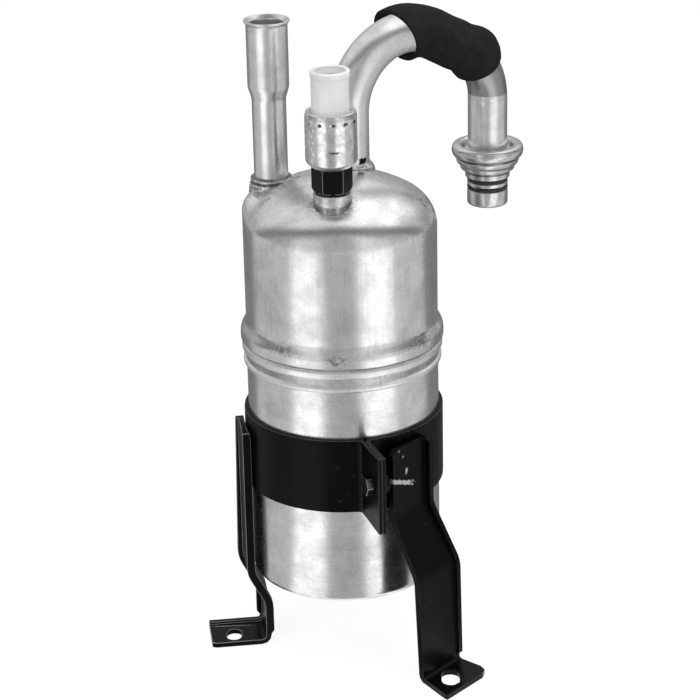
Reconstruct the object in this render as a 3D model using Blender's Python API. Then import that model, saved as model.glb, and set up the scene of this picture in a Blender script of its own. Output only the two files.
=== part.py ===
"""Receiver drier of a car air-conditioning circuit, standing in its bracket.

Metres, +Z up. The origin is the centre of the canister's flat base, and the
canister's axis is Z. The feet of the bracket reach below the base.
"""

import math

import bmesh
import bpy
from mathutils import Vector

MM = 0.001
GAP = 0.3 * MM
SHELL_SIDES = 40
MERGE = 1.0e-6

# Canister
CANISTER_RADIUS = 45.15 * MM
WALL = 2.5 * MM
BASE_CORNER = 4.5 * MM
LOWER_HEIGHT = 125.0 * MM
BEAD_BOTTOM = LOWER_HEIGHT - 14.0 * MM
BEAD_TOP = BEAD_BOTTOM + 8.4 * MM
BEAD_RADIUS = CANISTER_RADIUS + 1.95 * MM
SKIRT_RADIUS = CANISTER_RADIUS + 2.55 * MM
SKIRT_END = BEAD_TOP + 9.3 * MM
UPPER_RADIUS = CANISTER_RADIUS - 0.15 * MM
KNUCKLE = 18.0 * MM
CROWN = 70.0 * MM
DOME_TOP = LOWER_HEIGHT + 73.5 * MM
PAD_AZIMUTH = math.radians(162.0)
PAD_SPAN = math.radians(36.0)
PAD_DROP = 10.5 * MM
PAD_EDGE = 6.0 * MM

# Inlet tube
INLET_X = 13.75 * MM - CANISTER_RADIUS
INLET_Y = 14.0 * MM
INLET_RADIUS = 7.95 * MM
INLET_WALL = 1.3 * MM
SOCKET_RADIUS = 9.6 * MM
SOCKET_START = DOME_TOP + 32.4 * MM
INLET_TOP = DOME_TOP + 69.4 * MM
INLET_FOOT = DOME_TOP - 20.5 * MM
INLET_SEAT = DOME_TOP - 10.0 * MM

# Outlet tube and its loop, which lies in one upright plane
OUTLET_X = 4.93 * MM
OUTLET_Y = 17.0 * MM
OUTLET_RADIUS = 9.525 * MM
OUTLET_WALL = 1.5 * MM
LOOP_AZIMUTH = math.radians(35.02)
LOOP_REACH = 81.9 * MM
LOOP_CORNER = DOME_TOP + 79.45 * MM
LOOP_SLOPE = math.radians(28.95)
FIRST_BEND = 33.34 * MM
SECOND_BEND = 30.56 * MM
OUTLET_FOOT = DOME_TOP - 14.5 * MM
OUTLET_END = DOME_TOP - 22.1 * MM
SLEEVE_RADIUS = 12.2 * MM
SLEEVE_END_RADIUS = 13.5 * MM
SLEEVE_FIRST_ANGLE = math.radians(105.0)
SLEEVE_LAST_ANGLE = math.radians(60.0)

# Coupling at the end of the outlet tube
CAGE_RADIUS = 17.45 * MM
CAGE_TOP = OUTLET_END + 15.2 * MM
CAGE_BOTTOM = CAGE_TOP - 12.4 * MM
TIP_RADIUS = OUTLET_RADIUS + 0.375 * MM
TIP_END = OUTLET_END - 15.2 * MM
TIP_BORE = TIP_RADIUS - 3.3 * MM
RING_CORD = 1.05 * MM
RING_HEIGHTS = (OUTLET_END - 2.3 * MM, OUTLET_END - 6.3 * MM)

# Pressure switch
SWITCH_X = -3.0 * MM
SWITCH_Y = -25.0 * MM
BOSS_RADIUS = 8.7 * MM
BOSS_TOP = DOME_TOP - 0.6 * MM
HEX_TOP = BOSS_TOP + 12.2 * MM
HEX_CORNER = 9.35 * MM
HEX_TURN = math.radians(-109.0)
CAN_RADIUS = 11.8 * MM
CAN_TOP = HEX_TOP + 25.9 * MM
SHROUD_RADIUS = 8.4 * MM
SHROUD_BORE = 6.6 * MM
SHROUD_TOP = CAN_TOP + 18.5 * MM
SHROUD_FLOOR = CAN_TOP + 1.5 * MM

# Clamp band
BAND_SHEET = 1.7 * MM
BAND_BOTTOM = 48.7 * MM
BAND_TOP = BAND_BOTTOM + 36.0 * MM
BAND_INNER = CANISTER_RADIUS + GAP
BAND_OUTER = BAND_INNER + BAND_SHEET
SPLIT_AZIMUTH = math.radians(-79.0)
LUG_AZIMUTH = math.radians(-70.0)
LUG_LENGTH = 23.5 * MM
LUG_DROP = 1.6 * MM
LUG_GAP = 0.3 * MM
LUG_FOLD = 2.4 * MM
BOLT_ALONG = 15.0 * MM
BOLT_HEIGHT = (BAND_BOTTOM + BAND_TOP) / 2 + 2.0 * MM
BOLT_RADIUS = 3.0 * MM
BOLT_HEAD = 3.4 * MM
HEAD_CORNER = 4.7 * MM
NUT_THICKNESS = 2.6 * MM
WASHER_THICKNESS = 0.6 * MM
BOLT_TAIL = 0.4 * MM

# Bracket legs
LEG_SHEET = 2.6 * MM
SOLE = -34.8 * MM
LEFT_AZIMUTH = math.radians(187.0)
LEFT_FACE = BAND_OUTER + LEG_SHEET + GAP
LEFT_TOP = BAND_TOP - 6.5 * MM
LEFT_BENDS = (3.0 * MM, -12.5 * MM)
RIGHT_AZIMUTH = math.radians(-41.0)
RIGHT_FACE = BAND_OUTER + LEG_SHEET + GAP
RIGHT_TOP = BAND_TOP - 3.9 * MM
RIGHT_BENDS = (BAND_BOTTOM - 1.7 * MM, 18.0 * MM)
NUT_CLEARANCE = 4.4 * MM

# Pieces inside the canister
PICKUP_RADIUS = 7.6 * MM
PICKUP_WALL = 1.2 * MM
PICKUP_BEND = 17.0 * MM
PICKUP_AZIMUTH = math.radians(248.0)
PICKUP_LOW = 24.0 * MM
PICKUP_OPEN = LOWER_HEIGHT + 31.0 * MM

ALUMINIUM = ((0.62, 0.62, 0.62), 0.34, 1.0)
MACHINED = ((0.70, 0.70, 0.70), 0.22, 1.0)
STEEL = ((0.50, 0.50, 0.51), 0.30, 1.0)
BLACK_PAINT = ((0.012, 0.012, 0.012), 0.38, 0.0)
BLACK_PLASTIC = ((0.010, 0.010, 0.010), 0.45, 0.0)
BLACK_FOAM = ((0.014, 0.014, 0.014), 0.85, 0.0)
BLACK_RUBBER = ((0.020, 0.020, 0.020), 0.60, 0.0)
WHITE_PLASTIC = ((0.80, 0.80, 0.78), 0.35, 0.0)
WHITE_CLOTH = ((0.70, 0.69, 0.66), 0.90, 0.0)


def clear_scene():
    """Remove every object that the scene starts with."""
    for thing in list(bpy.data.objects):
        bpy.data.objects.remove(thing, do_unlink=True)


def new_material(name, finish):
    """Make one Principled material from (colour, roughness, metallic)."""
    colour, roughness, metallic = finish
    material = bpy.data.materials.new(name + "_finish")
    material.use_nodes = True
    shader = material.node_tree.nodes["Principled BSDF"]
    shader.inputs["Base Color"].default_value = (*colour, 1.0)
    shader.inputs["Roughness"].default_value = roughness
    shader.inputs["Metallic"].default_value = metallic
    material.diffuse_color = (*colour, 1.0)
    return material


def add_piece(name, bm, finish, place=(0.0, 0.0, 0.0), parent=None, crease=35.0):
    """Turn a bmesh into a named object with its own material."""
    bmesh.ops.remove_doubles(bm, verts=bm.verts, dist=MERGE)
    bmesh.ops.recalc_face_normals(bm, faces=bm.faces)
    mesh = bpy.data.meshes.new(name)
    bm.to_mesh(mesh)
    bm.free()
    mesh.shade_smooth()
    mesh.set_sharp_from_angle(angle=math.radians(crease))
    piece = bpy.data.objects.new(name, mesh)
    bpy.context.scene.collection.objects.link(piece)
    piece.location = place
    piece.parent = parent
    if finish is not None:
        mesh.materials.append(new_material(name, finish))
    return piece


def add_cutter(name, bm, place=(0.0, 0.0, 0.0), parent=None):
    """Add a guide solid that only shapes other pieces."""
    cutter = add_piece(name, bm, None, place, parent)
    cutter.hide_render = True
    cutter.display_type = "WIRE"
    return cutter


def cut(piece, cutter, operation="DIFFERENCE"):
    """Cut a piece with a guide solid."""
    boolean = piece.modifiers.new("Cut", "BOOLEAN")
    boolean.operation = operation
    boolean.object = cutter
    boolean.solver = "EXACT"


def arc(centre, radius, start, end, steps):
    """Points on a circular arc, angles in radians."""
    points = []
    for step in range(steps + 1):
        angle = start + (end - start) * step / steps
        points.append((centre[0] + radius * math.cos(angle), centre[1] + radius * math.sin(angle)))
    return points


def filleted(corners, steps=3):
    """Round the inner corners (x, y, radius) of an open line."""
    points = []
    for index, (x, y, radius) in enumerate(corners):
        here = Vector((x, y))
        if index in (0, len(corners) - 1) or radius <= 0.0:
            points.extend([tuple(here)] * (steps + 1 if 0 < index < len(corners) - 1 else 1))
            continue
        back = (Vector(corners[index - 1][:2]) - here).normalized()
        ahead = (Vector(corners[index + 1][:2]) - here).normalized()
        half = back.angle(ahead) / 2
        centre = here + (back + ahead).normalized() * radius / math.sin(half)
        start = here + back * radius / math.tan(half) - centre
        turn = math.copysign(math.pi - 2 * half, back.cross(ahead) * -1.0)
        first = math.atan2(start.y, start.x)
        points.extend(arc(centre, radius, first, first + turn, steps))
    return points


def offset_corners(corners, shift):
    """Shift an open line of corners to its left, keeping bends concentric."""
    shifted = []
    for index, (x, y, radius) in enumerate(corners):
        here = Vector((x, y))
        before = here - Vector(corners[max(index - 1, 0)][:2])
        after = Vector(corners[min(index + 1, len(corners) - 1)][:2]) - here
        before = (before if before.length > 0 else after).normalized()
        after = (after if after.length > 0 else before).normalized()
        left_before = Vector((-before.y, before.x))
        left_after = Vector((-after.y, after.x))
        middle = (left_before + left_after).normalized()
        moved = here + middle * shift / middle.dot(left_before)
        turning = before.cross(after)
        bend = radius
        if abs(turning) > 1.0e-6:
            bend = max(radius - math.copysign(shift, shift * turning), 0.0) if radius else 0.0
        shifted.append((moved.x, moved.y, bend))
    return shifted


def turned(name, outline, finish, axis=(0.0, 0.0), steps=32, parent=None, closed=True):
    """Revolve an outline of (radius, height) about an upright axis."""
    bm = turned_mesh(outline, steps, closed)
    return add_piece(name, bm, finish, (axis[0], axis[1], 0.0), parent)


def turned_mesh(outline, steps, closed=True):
    """Revolve an outline; an open outline starts and ends on the axis."""
    bm = bmesh.new()
    verts = [bm.verts.new((radius, 0.0, height)) for radius, height in outline]
    ends = verts[1:] + verts[:1] if closed else verts[1:]
    edges = [bm.edges.new(pair) for pair in zip(verts, ends)]
    bmesh.ops.spin(bm, geom=verts + edges, cent=(0, 0, 0), axis=(0, 0, 1),
                   angle=2 * math.pi, steps=steps, use_merge=True)
    bmesh.ops.remove_doubles(bm, verts=bm.verts, dist=MERGE)
    return bm


def ring_outline(radius, height, cord, steps=6):
    """Outline of a round-section ring."""
    return arc((radius, height), cord, 0.0, 2 * math.pi, steps)[:-1]


def loft(stations, wrap=False):
    """Skin a row of point loops, capped at both ends or joined round."""
    bm = bmesh.new()
    loops = [[bm.verts.new(point) for point in station] for station in stations]
    pairs = list(zip(loops, loops[1:] + loops[:1])) if wrap else list(zip(loops, loops[1:]))
    for first, second in pairs:
        for index in range(len(first)):
            other = (index + 1) % len(first)
            bm.faces.new((first[index], first[other], second[other], second[index]))
    if not wrap:
        bm.faces.new(loops[0])
        bm.faces.new(loops[-1])
    return bm


def plane_point(foot, azimuth, along, height, across=0.0):
    """Point in an upright plane through foot, across being to its left."""
    return (foot[0] + along * math.cos(azimuth) - across * math.sin(azimuth),
            foot[1] + along * math.sin(azimuth) + across * math.cos(azimuth),
            height)


def tube_mesh(path, radii, bores, foot, azimuth, sides):
    """Hollow tube along (along, height, heading) stations in one plane."""
    outer = []
    inner = []
    for (along, height, heading), radius, bore in zip(path, radii, bores):
        for loops, size in ((outer, radius), (inner, bore)):
            loop = []
            for side in range(sides):
                angle = 2 * math.pi * side / sides
                lift = size * math.cos(angle)
                loop.append(plane_point(foot, azimuth, along - lift * math.sin(heading),
                                        height + lift * math.cos(heading),
                                        size * math.sin(angle)))
            loops.append(loop)
    return loft(outer + inner[::-1], wrap=True)


def bend_path(centre, radius, start, end, steps):
    """Stations on a bend, each with its heading; the angles are positions."""
    side = math.copysign(math.pi / 2, end - start)
    stations = []
    for step in range(steps + 1):
        angle = start + (end - start) * step / steps
        stations.append((centre[0] + radius * math.cos(angle),
                         centre[1] + radius * math.sin(angle), angle + side))
    return stations


def loop_bends():
    """Centres of the outlet loop's two bends, in its plane."""
    first_height = LOOP_CORNER - FIRST_BEND / math.tan((math.pi / 2 - LOOP_SLOPE) / 2)
    second_corner = LOOP_CORNER - LOOP_REACH * math.tan(LOOP_SLOPE)
    second_height = second_corner - SECOND_BEND * math.tan((math.pi / 2 - LOOP_SLOPE) / 2)
    return (FIRST_BEND, first_height), (LOOP_REACH - SECOND_BEND, second_height)


def outlet_path():
    """Stations of the outlet tube from the dome to the coupling."""
    first, second = loop_bends()
    shoulder = math.pi / 2 - LOOP_SLOPE
    path = [(0.0, OUTLET_FOOT, math.pi / 2)]
    path += bend_path(first, FIRST_BEND, math.pi, shoulder, 11)
    path += bend_path(second, SECOND_BEND, shoulder, 0.0, 7)
    path.append((LOOP_REACH, OUTLET_END, -math.pi / 2))
    return path


def sleeve_path():
    """Stations of the foam sleeve, from the loop's top into its second bend."""
    first, second = loop_bends()
    shoulder = math.pi / 2 - LOOP_SLOPE
    path = bend_path(first, FIRST_BEND, SLEEVE_FIRST_ANGLE, shoulder, 4)
    start = path[-1]
    rest = bend_path(second, SECOND_BEND, shoulder, math.pi / 2 - SLEEVE_LAST_ANGLE, 5)
    for part in (0.25, 0.5, 0.75):
        path.append((start[0] + (rest[0][0] - start[0]) * part,
                     start[1] + (rest[0][1] - start[1]) * part, -LOOP_SLOPE))
    return path + rest


def dome_outline(offset=0.0, steps=4):
    """Dome profile from its top on the axis out to the straight side."""
    centre = DOME_TOP - CROWN
    reach = UPPER_RADIUS - KNUCKLE
    knuckle_height = centre + math.sqrt((CROWN - KNUCKLE) ** 2 - reach ** 2)
    tangent = math.atan2(knuckle_height - centre, reach)
    crown = arc((0.0, centre), CROWN + offset, math.pi / 2, tangent, steps)
    knuckle = arc((reach, knuckle_height), KNUCKLE + offset, tangent, 0.0, steps)
    crown[0] = (0.0, crown[0][1])
    return crown + knuckle[1:]


def rod_mesh(start, end, radius, sides=16):
    """Cylinder between two points."""
    start = Vector(start)
    axis = Vector(end) - start
    turn = axis.to_track_quat("Z", "Y")
    stations = []
    for part in (0.0, 1.0):
        loop = []
        for side in range(sides):
            angle = 2 * math.pi * side / sides
            rim = Vector((radius * math.cos(angle), radius * math.sin(angle), 0.0))
            loop.append(start + axis * part + turn @ rim)
        stations.append(loop)
    return loft(stations)


def merged(meshes):
    """Put several closed solids into one guide mesh."""
    whole = bmesh.new()
    for bm in meshes:
        copies = {vert: whole.verts.new(vert.co) for vert in bm.verts}
        for face in bm.faces:
            whole.faces.new([copies[vert] for vert in face.verts])
        bm.free()
    return whole


def padded(bm):
    """Lift the dome's shoulder by the inlet into a flat pad, on a turned mesh."""
    knee = DOME_TOP - CROWN + math.sqrt((CROWN - KNUCKLE) ** 2 - (UPPER_RADIUS - KNUCKLE) ** 2)
    flat = UPPER_RADIUS - PAD_EDGE
    for vert in bm.verts:
        out = min(math.hypot(vert.co.x, vert.co.y), UPPER_RADIUS)
        if out < flat - 6.0 * MM or vert.co.z < knee - 12.0 * MM:
            continue
        turn = abs(math.atan2(vert.co.y, vert.co.x) - PAD_AZIMUTH)
        turn = min(turn, 2 * math.pi - turn)
        share = min(max((PAD_SPAN - turn) / (PAD_SPAN * 0.6), 0.0), 1.0)
        share *= share * (3.0 - 2.0 * share)
        beyond = max(out - flat, 0.0)
        level = DOME_TOP - PAD_DROP - PAD_EDGE + math.sqrt(PAD_EDGE ** 2 - beyond ** 2)
        side = out - UPPER_RADIUS + KNUCKLE
        dome = knee + math.sqrt(max(KNUCKLE ** 2 - side ** 2, 0.0))
        fade = min(max((vert.co.z - knee) / (12.0 * MM) + 1.0, 0.0), 1.0)
        vert.co.z += max(level - dome, 0.0) * share * fade
    return bm


def build_canister(parent):
    """Two deep-drawn shells joined by a weld bead, and the dome guide."""
    inner = CANISTER_RADIUS - WALL
    inner_corner = BASE_CORNER - WALL * 0.6
    lower = [(0.0, 0.0)]
    lower += arc((CANISTER_RADIUS - BASE_CORNER, BASE_CORNER), BASE_CORNER,
                 -math.pi / 2, 0.0, 4)
    lower += [(CANISTER_RADIUS, LOWER_HEIGHT), (inner, LOWER_HEIGHT)]
    lower += arc((inner - inner_corner, WALL + inner_corner), inner_corner,
                 0.0, -math.pi / 2, 3)
    lower.append((0.0, WALL))
    turned("lower_shell", lower, ALUMINIUM, steps=SHELL_SIDES, parent=parent, closed=False)

    bore = CANISTER_RADIUS + GAP
    middle = (BEAD_BOTTOM + BEAD_TOP) / 2
    bead = [(bore, BEAD_BOTTOM), (BEAD_RADIUS - 0.6 * MM, BEAD_BOTTOM),
            (BEAD_RADIUS, BEAD_BOTTOM + 1.0 * MM), (BEAD_RADIUS, middle - 1.0 * MM),
            (BEAD_RADIUS - 0.4 * MM, middle), (BEAD_RADIUS, middle + 1.0 * MM),
            (BEAD_RADIUS, BEAD_TOP - 1.0 * MM), (BEAD_RADIUS - 0.6 * MM, BEAD_TOP),
            (bore, BEAD_TOP)]
    turned("weld_bead", bead, ALUMINIUM, steps=SHELL_SIDES, parent=parent)

    skirt_bottom = BEAD_TOP + GAP
    upper_inner = UPPER_RADIUS - WALL
    upper = dome_outline()
    upper += [(UPPER_RADIUS, SKIRT_END), (SKIRT_RADIUS, SKIRT_END - 4.6 * MM),
              (SKIRT_RADIUS, skirt_bottom + 0.6 * MM),
              (SKIRT_RADIUS - 0.6 * MM, skirt_bottom), (bore, skirt_bottom),
              (bore, LOWER_HEIGHT + 0.6 * MM), (upper_inner, LOWER_HEIGHT + 4.6 * MM)]
    upper += dome_outline(-WALL)[::-1]
    shell = add_piece("upper_shell", padded(turned_mesh(upper, SHELL_SIDES, closed=False)),
                      ALUMINIUM, parent=parent)
    above = DOME_TOP + 0.01
    below = DOME_TOP - 0.02
    holes = [rod_mesh((INLET_X, INLET_Y, INLET_FOOT - GAP), (INLET_X, INLET_Y, above),
                      INLET_RADIUS + GAP, 20),
             rod_mesh((OUTLET_X, OUTLET_Y, below), (OUTLET_X, OUTLET_Y, above),
                      OUTLET_RADIUS + GAP, 20),
             rod_mesh((SWITCH_X, SWITCH_Y, below), (SWITCH_X, SWITCH_Y, above), 2.6 * MM, 12)]
    cut(shell, add_cutter("dome_holes", merged(holes), parent=parent))

    guide = dome_outline(GAP)
    floor = SKIRT_END + GAP
    guide += [(UPPER_RADIUS + GAP, floor), (0.0, floor)]
    return add_cutter("dome_guide", padded(turned_mesh(guide, SHELL_SIDES, closed=False)),
                      parent=parent)


def build_inlet(parent, dome_guide):
    """Straight inlet tube with a widened socket and its weld at the dome."""
    outer = INLET_RADIUS
    bore = INLET_RADIUS - INLET_WALL
    socket_bore = SOCKET_RADIUS - INLET_WALL
    taper_top = SOCKET_START + 5.6 * MM
    outline = [(bore, INLET_FOOT), (outer, INLET_FOOT), (outer, SOCKET_START),
               (SOCKET_RADIUS - 0.3 * MM, taper_top - 1.0 * MM), (SOCKET_RADIUS, taper_top),
               (SOCKET_RADIUS, INLET_TOP - 1.9 * MM),
               (SOCKET_RADIUS + 1.07 * MM, INLET_TOP - 0.7 * MM),
               (SOCKET_RADIUS + 0.9 * MM, INLET_TOP), (SOCKET_RADIUS + 0.2 * MM, INLET_TOP),
               (socket_bore, INLET_TOP - 1.6 * MM), (socket_bore, taper_top + 0.4 * MM),
               (bore, SOCKET_START + 0.4 * MM)]
    turned("inlet_tube", outline, ALUMINIUM, (INLET_X, INLET_Y), 24, parent)

    hole = outer + GAP
    deep = INLET_SEAT - 14.0 * MM
    collar = [(hole, deep), (outer + 2.6 * MM, deep), (outer + 2.6 * MM, INLET_SEAT),
              (outer + 1.7 * MM, INLET_SEAT + 0.6 * MM), (outer + 1.35 * MM, INLET_SEAT + 1.4 * MM),
              (outer + 1.75 * MM, INLET_SEAT + 2.2 * MM), (outer + 1.5 * MM, INLET_SEAT + 4.0 * MM),
              (hole + 0.4 * MM, INLET_SEAT + 4.6 * MM), (hole, INLET_SEAT + 4.6 * MM)]
    weld = turned("inlet_weld_collar", collar, ALUMINIUM, (INLET_X, INLET_Y), 24, parent)
    cut(weld, dome_guide)


def build_outlet(parent, dome_guide):
    """Looped outlet tube, its weld at the dome and its foam sleeve."""
    foot = (OUTLET_X, OUTLET_Y)
    path = outlet_path()
    bore = OUTLET_RADIUS - OUTLET_WALL
    tube = tube_mesh(path, [OUTLET_RADIUS] * len(path), [bore] * len(path),
                     foot, LOOP_AZIMUTH, 16)
    add_piece("outlet_tube", tube, ALUMINIUM, parent=parent)

    hole = OUTLET_RADIUS + GAP
    deep = OUTLET_FOOT + 2.0 * MM
    wide = OUTLET_RADIUS + 2.5 * MM
    collar = [(hole, deep), (wide, deep), (wide, DOME_TOP - 2.3 * MM),
              (wide - 1.0 * MM, DOME_TOP - 0.9 * MM), (hole + 0.3 * MM, DOME_TOP + 0.7 * MM),
              (hole, DOME_TOP + 0.7 * MM)]
    weld = turned("outlet_weld_collar", collar, ALUMINIUM, foot, 24, parent)
    cut(weld, dome_guide)

    stations = sleeve_path()
    radii = []
    for index in range(len(stations)):
        swell = 0.35 * MM * math.sin(1.9 * index)
        radii.append(SLEEVE_RADIUS + swell)
    radii[0] = SLEEVE_END_RADIUS - 0.4 * MM
    radii[1] = SLEEVE_END_RADIUS
    radii[2] = (SLEEVE_RADIUS + SLEEVE_END_RADIUS) / 2
    radii[-1] = SLEEVE_RADIUS - 0.6 * MM
    sleeve = tube_mesh(stations, radii, [OUTLET_RADIUS + GAP] * len(stations),
                       foot, LOOP_AZIMUTH, 16)
    add_piece("insulation_sleeve", sleeve, BLACK_FOAM, parent=parent, crease=60.0)


def build_coupling(parent):
    """Quick-lock coupling: plugged tip, two o-rings, and the spring cage."""
    spot = plane_point((OUTLET_X, OUTLET_Y), LOOP_AZIMUTH, LOOP_REACH, 0.0)[:2]
    shoulder = TIP_RADIUS + 0.9 * MM
    groove = RING_HEIGHTS[0] - RING_HEIGHTS[1] - 1.7 * MM
    floor = TIP_RADIUS - 2.1 * MM
    outline = [(TIP_BORE, OUTLET_END - 1.6 * MM), (TIP_BORE, TIP_END + 0.6 * MM),
               (TIP_BORE + 0.6 * MM, TIP_END), (TIP_RADIUS - 1.6 * MM, TIP_END)]
    outline += arc((TIP_RADIUS - 1.6 * MM, TIP_END + 1.6 * MM), 1.6 * MM,
                   -math.pi / 2, 0.0, 2)[1:]
    for height in reversed(RING_HEIGHTS):
        outline += [(TIP_RADIUS, height - groove / 2), (floor, height - groove / 2),
                    (floor, height + groove / 2), (TIP_RADIUS, height + groove / 2)]
    outline[-1] = (shoulder, RING_HEIGHTS[0] + groove / 2)
    socket = OUTLET_RADIUS + GAP
    socket_top = CAGE_TOP - 5.8 * MM
    outline += [(shoulder, socket_top), (socket, socket_top),
                (socket, OUTLET_END - GAP), (TIP_BORE, OUTLET_END - GAP)]
    turned("coupling_tip", outline[1:], MACHINED, spot, 24, parent)

    for number, height in enumerate(RING_HEIGHTS, start=1):
        ring = ring_outline(TIP_RADIUS - 0.7 * MM, height, RING_CORD)
        turned(f"coupling_o_ring_{number}", ring, BLACK_RUBBER, spot, 20, parent)

    lip = shoulder + GAP
    rim = CAGE_RADIUS
    cage = [(socket, CAGE_TOP - 5.4 * MM), (socket, CAGE_TOP - 3.4 * MM),
            (rim - 5.0 * MM, CAGE_TOP - 3.4 * MM), (rim - 4.6 * MM, CAGE_TOP - 0.4 * MM),
            (rim - 4.0 * MM, CAGE_TOP), (rim - 1.8 * MM, CAGE_TOP),
            (rim - 0.3 * MM, CAGE_TOP - 1.2 * MM), (rim, CAGE_TOP - 2.3 * MM),
            (rim - 0.4 * MM, CAGE_TOP - 3.5 * MM), (rim - 1.5 * MM, CAGE_TOP - 4.7 * MM),
            (rim - 1.0 * MM, CAGE_TOP - 5.4 * MM), (rim - 1.1 * MM, CAGE_TOP - 7.4 * MM),
            (rim - 1.7 * MM, CAGE_TOP - 9.6 * MM), (rim - 2.6 * MM, CAGE_BOTTOM + 0.8 * MM),
            (rim - 3.4 * MM, CAGE_BOTTOM), (lip, CAGE_BOTTOM), (lip, CAGE_BOTTOM + 0.9 * MM),
            (rim - 3.7 * MM, CAGE_BOTTOM + 1.1 * MM), (rim - 2.8 * MM, CAGE_BOTTOM + 3.0 * MM),
            (rim - 2.6 * MM, CAGE_TOP - 6.4 * MM), (rim - 3.2 * MM, CAGE_TOP - 5.4 * MM)]
    turned("coupling_cage", cage, MACHINED, spot, 24, parent)
    spring = ring_outline(rim - 4.35 * MM, (CAGE_TOP + CAGE_BOTTOM) / 2 - 2.1 * MM, 1.15 * MM)
    turned("garter_spring", spring, STEEL, spot, 20, parent)


def hexagon(radius, height, turn):
    """Six corners on a circle at one height."""
    corners = []
    for corner in range(6):
        angle = turn + corner * math.pi / 3
        corners.append((radius * math.cos(angle), radius * math.sin(angle), height))
    return corners


def build_switch(parent, dome_guide):
    """Pressure switch screwed on its boss on the dome."""
    spot = (SWITCH_X, SWITCH_Y)
    stub = BOSS_RADIUS - 3.7 * MM
    stub_top = HEX_TOP - 2.5 * MM
    deep = BOSS_TOP - 13.9 * MM
    boss = [(2.6 * MM, deep), (BOSS_RADIUS, deep), (BOSS_RADIUS, BOSS_TOP - 0.6 * MM),
            (BOSS_RADIUS - 0.6 * MM, BOSS_TOP), (stub, BOSS_TOP), (stub, stub_top - 0.8 * MM),
            (stub - 0.8 * MM, stub_top), (2.6 * MM, stub_top)]
    cut(turned("switch_boss", boss, MACHINED, spot, 24, parent), dome_guide)

    valve = [(0.0, stub_top - 0.6 * MM), (1.0 * MM, stub_top - 0.6 * MM),
             (1.0 * MM, stub_top - 3.0 * MM), (2.3 * MM, stub_top - 3.4 * MM),
             (2.3 * MM, BOSS_TOP - 1.5 * MM), (1.4 * MM, BOSS_TOP - 2.7 * MM),
             (1.4 * MM, BOSS_TOP - 6.4 * MM), (0.0, BOSS_TOP - 6.4 * MM)]
    turned("valve_core", valve, MACHINED, spot, 12, parent, closed=False)

    seat = BOSS_TOP + GAP
    ring = ring_outline(stub + 1.3 * MM, seat + 0.9 * MM, 0.9 * MM)
    turned("switch_o_ring", ring, BLACK_RUBBER, spot, 20, parent)

    base = loft([hexagon(HEX_CORNER - 1.2 * MM, seat, HEX_TURN),
                 hexagon(HEX_CORNER, seat + 1.4 * MM, HEX_TURN),
                 hexagon(HEX_CORNER, HEX_TOP, HEX_TURN)])
    nut = add_piece("switch_hex", base, BLACK_PLASTIC, (*spot, 0.0), parent, 25.0)
    pocket = [(0.0, deep), (stub + 2.4 * MM, deep), (stub + 2.4 * MM, seat + 2.1 * MM),
              (stub + GAP, seat + 2.1 * MM), (stub + GAP, stub_top + GAP),
              (2.0 * MM, stub_top + GAP), (2.0 * MM, CAN_TOP), (0.0, CAN_TOP)]
    cut(nut, add_cutter("hex_pocket", turned_mesh(pocket, 20, closed=False),
                        (*spot, 0.0), parent))

    bottom = HEX_TOP + GAP
    wall = 1.0 * MM
    can = [(2.0 * MM, bottom), (CAN_RADIUS - 2.2 * MM, bottom),
           (CAN_RADIUS - 0.5 * MM, bottom + 1.0 * MM), (CAN_RADIUS, bottom + 2.6 * MM),
           (CAN_RADIUS, CAN_TOP - 1.6 * MM), (CAN_RADIUS - 0.5 * MM, CAN_TOP - 0.4 * MM),
           (CAN_RADIUS - 1.0 * MM, CAN_TOP), (SHROUD_RADIUS + 0.6 * MM, CAN_TOP),
           (SHROUD_RADIUS + 0.6 * MM, CAN_TOP - 0.6 * MM), (CAN_RADIUS - wall, CAN_TOP - 0.6 * MM),
           (CAN_RADIUS - wall, bottom + 2.6 * MM), (CAN_RADIUS - wall - 1.0 * MM, bottom + wall),
           (2.0 * MM, bottom + wall)]
    turned("switch_can", can, ALUMINIUM, spot, 24, parent)

    flange = CAN_RADIUS - wall - GAP
    flange_top = CAN_TOP - 0.6 * MM - GAP
    seat = CAN_TOP - 9.2 * MM
    shroud = [(0.0, seat), (flange, seat), (flange, flange_top),
              (SHROUD_RADIUS, flange_top), (SHROUD_RADIUS, SHROUD_TOP - 0.5 * MM),
              (SHROUD_RADIUS - 0.4 * MM, SHROUD_TOP), (SHROUD_BORE + 0.3 * MM, SHROUD_TOP),
              (SHROUD_BORE, SHROUD_TOP - 0.5 * MM), (SHROUD_BORE, SHROUD_FLOOR),
              (0.0, SHROUD_FLOOR)]
    socket = turned("connector_shroud", shroud, WHITE_PLASTIC, spot, 24, parent, closed=False)

    slots = []
    for number, side in enumerate((-1.0, 1.0), start=1):
        shift = side * 3.0 * MM
        blade = box_mesh((shift - 0.4 * MM, -1.5 * MM, seat - 5.0 * MM),
                         (shift + 0.4 * MM, 1.5 * MM, SHROUD_TOP - 6.2 * MM), taper=0.6)
        add_piece(f"terminal_pin_{number}", blade, MACHINED, (*spot, 0.0), parent, 25.0)
        slots.append(box_mesh((shift - 0.4 * MM - GAP, -1.5 * MM - GAP, seat - 0.01),
                              (shift + 0.4 * MM + GAP, 1.5 * MM + GAP, SHROUD_TOP)))
    cut(socket, add_cutter("pin_slots", merged(slots), (*spot, 0.0), parent))

    rim = CAN_RADIUS - wall - 0.8 * MM
    low = bottom + 2.9 * MM
    disc = [(0.0, low + 2.2 * MM), (rim - 4.0 * MM, low + 1.8 * MM), (rim, low + 0.5 * MM),
            (rim, low), (rim - 4.0 * MM, low + 1.3 * MM), (0.0, low + 1.7 * MM)]
    turned("snap_disc", disc, STEEL, spot, 20, parent, closed=False)


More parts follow.
